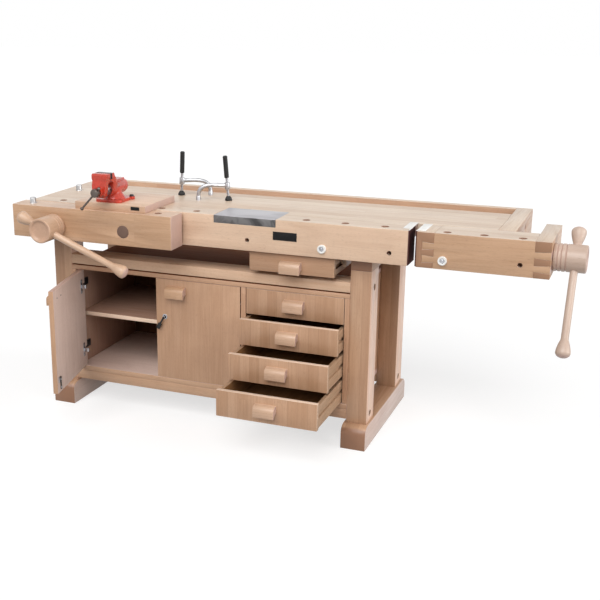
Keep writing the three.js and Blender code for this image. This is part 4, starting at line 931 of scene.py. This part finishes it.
class BENCH_OT_hold_downs(bpy.types.Operator):
    """Finishes the two screw hold-downs and the round bench dogs"""

    bl_idname = "bench.hold_downs"
    bl_label = "Hold-downs and dogs"

    def screw(self, side):
        """A leaning threaded screw with a ribbed grip above and a level foot below."""
        node = side + "_hold_down_screw"
        place = spot(*HOLD_DOWN_FEET[side], TOP_LEVEL + FOOT_GAP)
        pad = [(0, 0), (12.6, 0), (14.2, 0.8), (15, 2.6), (14.6, 7)]
        pad += [(11.5, 13), (8, 18.4), (5, 19.8), (0, 19.8)]
        grip = [(0, 94), (5.4, 94), (8.6, 96.2), (9.6, 97.4), (10, 99)]
        rib = ((10, 101), (9.4, 102.5), (9.4, 105), (10, 106.5))
        for step in range(9):
            grip += [(radius, along + 9 * step) for radius, along in rib]
        grip += [(10, 182), (9.4, 184), (8.2, 186), (6, 187.4), (0, 187.4)]
        stem = lathe([(0, 12), (5.4, 12), (5.4, 95), (0, 95)], 32)
        thread = put(helix(5.2, 5.95, 3, 23, 2.2), mm(0, 0, 22))
        rod = together(stem, thread, lathe(grip, 40, 1))
        put(rod, place, JOINTS[side + "_hold_down_feed"]["axis"])
        whole = together(rod, put(lathe(pad, 40, 1), place))
        finish = ("bright_steel", "black_moulded")
        piece(node + "_dressed", whole, finish, BODIES[node], (node,))

    def execute(self, context):
        for side in ("left", "right"):
            dressed(side + "_hold_down_arm", ("satin_steel",), 0.8 * MM, angle=50)
            self.screw(side)
        for node in ("chop_dog", "top_dog"):
            dressed(node, ("dog_steel",), 0.8 * MM)
        return {"FINISHED"}


class BENCH_OT_hardware(bpy.types.Operator):
    """Fits bolts, pegs, bare plates, lock, key, hinges, screws and a barrel bolt"""

    bl_idname = "bench.hardware"
    bl_label = "Hardware"

    def execute(self, context):
        self.leg_bolts()
        self.pegs()
        self.plates()
        self.lock()
        self.door_fittings()
        return {"FINISHED"}

    def leg_bolts(self):
        depth, standing = 13.8 * MM, 1.5 * MM
        shapes = []
        for x, way in ((-1543, -X), (-144, X)):
            for y in (105, 557):
                for z in (128, 647):
                    inside = spot(x, y, z) - way * depth
                    shapes.append(put(socket_bolt(9, 8), inside + way * standing, way))
                    shapes.append(put(washer(4, 12.2), inside, way))
        piece("trestle_bolts", together(*shapes), ("dark_steel",), "bench")

    def pegs(self):
        ring = [(9.6, 5.5), (9.8, 9.2), (10.6, 10.0), (15.2, 10.0), (16.2, 9.2)]
        ring += [(16.5, 8.2), (16.5, 0), (9.6, 0), (9.6, 5.5)]
        core = [(0, 6.6), (2.0, 6.8), (2.2, 9.6), (4.9, 9.9), (5.8, 9.2)]
        core += [(5.9, 6.2), (9.7, 6.0), (9.7, 1), (0, 1)]
        for name, place, body in (
            ("apron_peg", spot(-326, 0, 803), "bench"),
            ("tail_peg", spot(129.6, 0, 801), "tail_vise"),
        ):
            shape = together(lathe(ring, 48), lathe(core, 32, 1))
            piece(name, put(shape, place, -Y), ("white_nylon", "bright_steel"), body)

    def plates(self):
        apron = bar(spot(-524, -1.4, 821), spot(-427, 0.3, 854), 0.7 * MM)
        piece("apron_plate", apron, ("black_enamel",), "bench")
        board = bar(spot(-1091, -86.2, 909), spot(-1053, -84.7, 923), 0.6 * MM)
        piece("board_plate", board, ("black_enamel",), "bench")

    def lock(self):
        ring = [(5.2, 1.2), (6.2, 2.6), (9.2, 3.2), (11, 2.6)]
        ring += [(11.6, 1.2), (11.6, 0), (5.2, 0), (5.2, 1.2)]
        core = [(0, 1.0), (5.4, 1.2), (5.4, 0.2), (0, 0.2)]
        shape = put(together(lathe(ring, 40), lathe(core, 40, 1)), spot(*LOCK), -Y)
        piece("door_lock", shape, ("bright_steel", "black_moulded"), "right_door")
        dressed("door_key", ("black_moulded", "bright_steel"), 0.7 * MM, choose=self.key_blade)

    def key_blade(self, middle, normal):
        return int((middle - spot(*LOCK)).length < 15 * MM)

    def door_fittings(self):
        left, right = self.door_grid(LEFT_PIN, OPEN_DOOR, 1), self.door_grid(RIGHT_PIN, -X, -1)
        for side, grid in (("left", left), ("right", right)):
            for level in ("upper", "lower"):
                dressed(f"{side}_door_{level}_hinge", ("dark_steel",), 0.6 * MM)
            cups = []
            for z in HINGE_LEVELS:
                cups.append(bar(mm(20, 0, z - 30), mm(39, 1.6, z + 30), 0.6 * MM))
                cups.append(bar(mm(23, 1, z - 8), mm(33, 22, z + 8), 2 * MM))
                for edge in (-22, 22):
                    cups.append(put(dome_screw(4, 1.6), mm(30, 1.6, z + edge), Y))
            whole = together(*cups)
            bmesh.ops.transform(whole, matrix=grid, verts=whole.verts)
            bmesh.ops.recalc_face_normals(whole, faces=whole.faces)
            piece(side + "_hinge_cups", whole, ("bright_steel",), side + "_door")
        self.barrel_bolt(left)

    def door_grid(self, pin, run, hand):
        """Turns (along, off the inside, up) of a door into its place."""
        inward = Z.cross(run) * hand
        grid = Matrix((run, inward, Z)).transposed().to_4x4()
        return Matrix.Translation(spot(*pin, 0) + inward * DOOR_BACK * MM) @ grid

    def barrel_bolt(self, grid):
        """A sliding bolt low on the left door, and the two screws that hold the door's pull."""
        rod = lathe([(0, 0), (2.4, 0), (3, 0.8), (3, 56), (0, 56)], 24, 1)
        shapes = [bar(mm(338, 0, 214), mm(353, 2, 238), 0.6 * MM)]
        shapes.append(put(rod, mm(333, 3.2, 182)))
        for z in (192, 226):
            shapes.append(bar(mm(329, 0, z - 3), mm(337, 6.6, z + 3), 0.8 * MM))
        for along in (278.7, 322.6):
            shapes.append(put(dome_screw(3.2, 1.4, 1), mm(along, 0, 565), Y))
        whole = together(*shapes)
        bmesh.ops.transform(whole, matrix=grid, verts=whole.verts)
        piece("left_door_bolt", whole, ("satin_steel", "worn_steel"), "left_door")


class BENCH_OT_stage(bpy.types.Operator):
    """Lays the floor, hangs the lights and sets up the camera"""

    bl_idname = "bench.stage"
    bl_label = "Stage"

    def execute(self, context):
        stage = context.scene.bench_stage
        self.floor(stage)
        self.world(stage)
        self.light(stage)
        self.camera(stage)
        context.scene.view_settings.view_transform = "Standard"
        return {"FINISHED"}

    def seen(self, graph):
        """1 for the rays that show the background, and 0 for those that light the bench."""
        path = graph.add("ShaderNodeLightPath").outputs
        glossy = graph.math("MAXIMUM", path["Is Camera Ray"], path["Is Glossy Ray"])
        return graph.math("MAXIMUM", glossy, path["Is Transmission Ray"])

    def floor(self, stage):
        bm = bmesh.new()
        bmesh.ops.create_grid(bm, x_segments=1, y_segments=1, size=FLOOR_SIZE)
        obj = linked("studio_floor", meshed("studio_floor", bm))
        material = bpy.data.materials.new("studio_floor")
        material.use_nodes = True
        graph = Graph(material.node_tree)
        material.node_tree.nodes.clear()
        matte = graph.add("ShaderNodeBsdfDiffuse", {"Color": (*stage.floor, 1)}).outputs[0]
        glow = graph.math("MULTIPLY", self.seen(graph), stage.lift)
        lift = graph.add("ShaderNodeEmission", {"Color": (1, 1, 1, 1), "Strength": glow}).outputs[0]
        both = graph.add("ShaderNodeAddShader", {0: matte, 1: lift}).outputs[0]
        graph.add("ShaderNodeOutputMaterial", {"Surface": both})
        obj.data.materials.append(material)

    def world(self, stage):
        world = bpy.data.worlds.new("studio")
        bpy.context.scene.world = world
        world.use_nodes = True
        graph = Graph(world.node_tree)
        sky = world.node_tree.nodes["Background"].inputs
        sky["Color"].default_value = (1, 1, 1, 1)
        graph.put(sky["Strength"], graph.between(self.seen(graph), 0.0, 1.0, stage.sky, 1.0))

    def light(self, stage):
        for name, energy, way in (
            ("key_light", stage.key, (0.0, 0.64, -0.60)),
            ("side_light", stage.side, (-0.90, 0.04, -0.24)),
            ("back_light", stage.fill, (0.50, -0.60, -0.55)),
        ):
            lamp = bpy.data.lights.new(name, "SUN")
            lamp.energy = energy
            lamp.angle = stage.spread
            obj = linked(name, lamp)
            obj.rotation_euler = Vector(way).to_track_quat("-Z", "Y").to_euler()
            obj.visible_glossy = name != "back_light"

    def camera(self, stage):
        lens = bpy.data.cameras.new("photo_camera")
        lens.lens = stage.lens
        lens.sensor_width = 36
        lens.shift_x, lens.shift_y = CAMERA_SHIFT
        lens.clip_end = 100
        obj = linked("photo_camera", lens)
        matrix = Matrix.Translation(spot(*CAMERA_PLACE))
        for angle, axis in zip(CAMERA_TURN, "ZXZ"):
            matrix = matrix @ Matrix.Rotation(math.radians(angle), 4, axis)
        obj.matrix_world = matrix
        bpy.context.scene.camera = obj


class BENCH_PT_panel(bpy.types.Panel):
    """Steps and finishes of the bench"""

    bl_idname = "BENCH_PT_panel"
    bl_label = "Bench"
    bl_space_type = "VIEW_3D"
    bl_region_type = "UI"
    bl_category = "Bench"

    def draw(self, context):
        for operator in STEPS:
            self.layout.operator(operator.bl_idname)
        for group in (context.scene.bench_looks, context.scene.bench_stage):
            box = self.layout.box()
            for key in group.__annotations__:
                box.prop(group, key)


STEPS = (
    BENCH_OT_timber,
    BENCH_OT_fronts,
    BENCH_OT_screws,
    BENCH_OT_jaw_linings,
    BENCH_OT_engineers_vise,
    BENCH_OT_hold_downs,
    BENCH_OT_hardware,
    BENCH_OT_stage,
)
CLASSES = (BenchLooks, BenchStage, *STEPS, BENCH_PT_panel)


def register():
    for entry in CLASSES:
        bpy.utils.register_class(entry)
    bpy.types.Scene.bench_looks = PointerProperty(type=BenchLooks)
    bpy.types.Scene.bench_stage = PointerProperty(type=BenchStage)


def unregister():
    del bpy.types.Scene.bench_stage
    del bpy.types.Scene.bench_looks
    for entry in reversed(CLASSES):
        bpy.utils.unregister_class(entry)


def main():
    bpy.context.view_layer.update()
    register()
    bpy.ops.bench.timber()
    bpy.ops.bench.fronts()
    bpy.ops.bench.screws()
    bpy.ops.bench.jaw_linings()
    bpy.ops.bench.engineers_vise()
    bpy.ops.bench.hold_downs()
    bpy.ops.bench.hardware()
    bpy.ops.bench.stage()


if __name__ == "__main__":
    main()
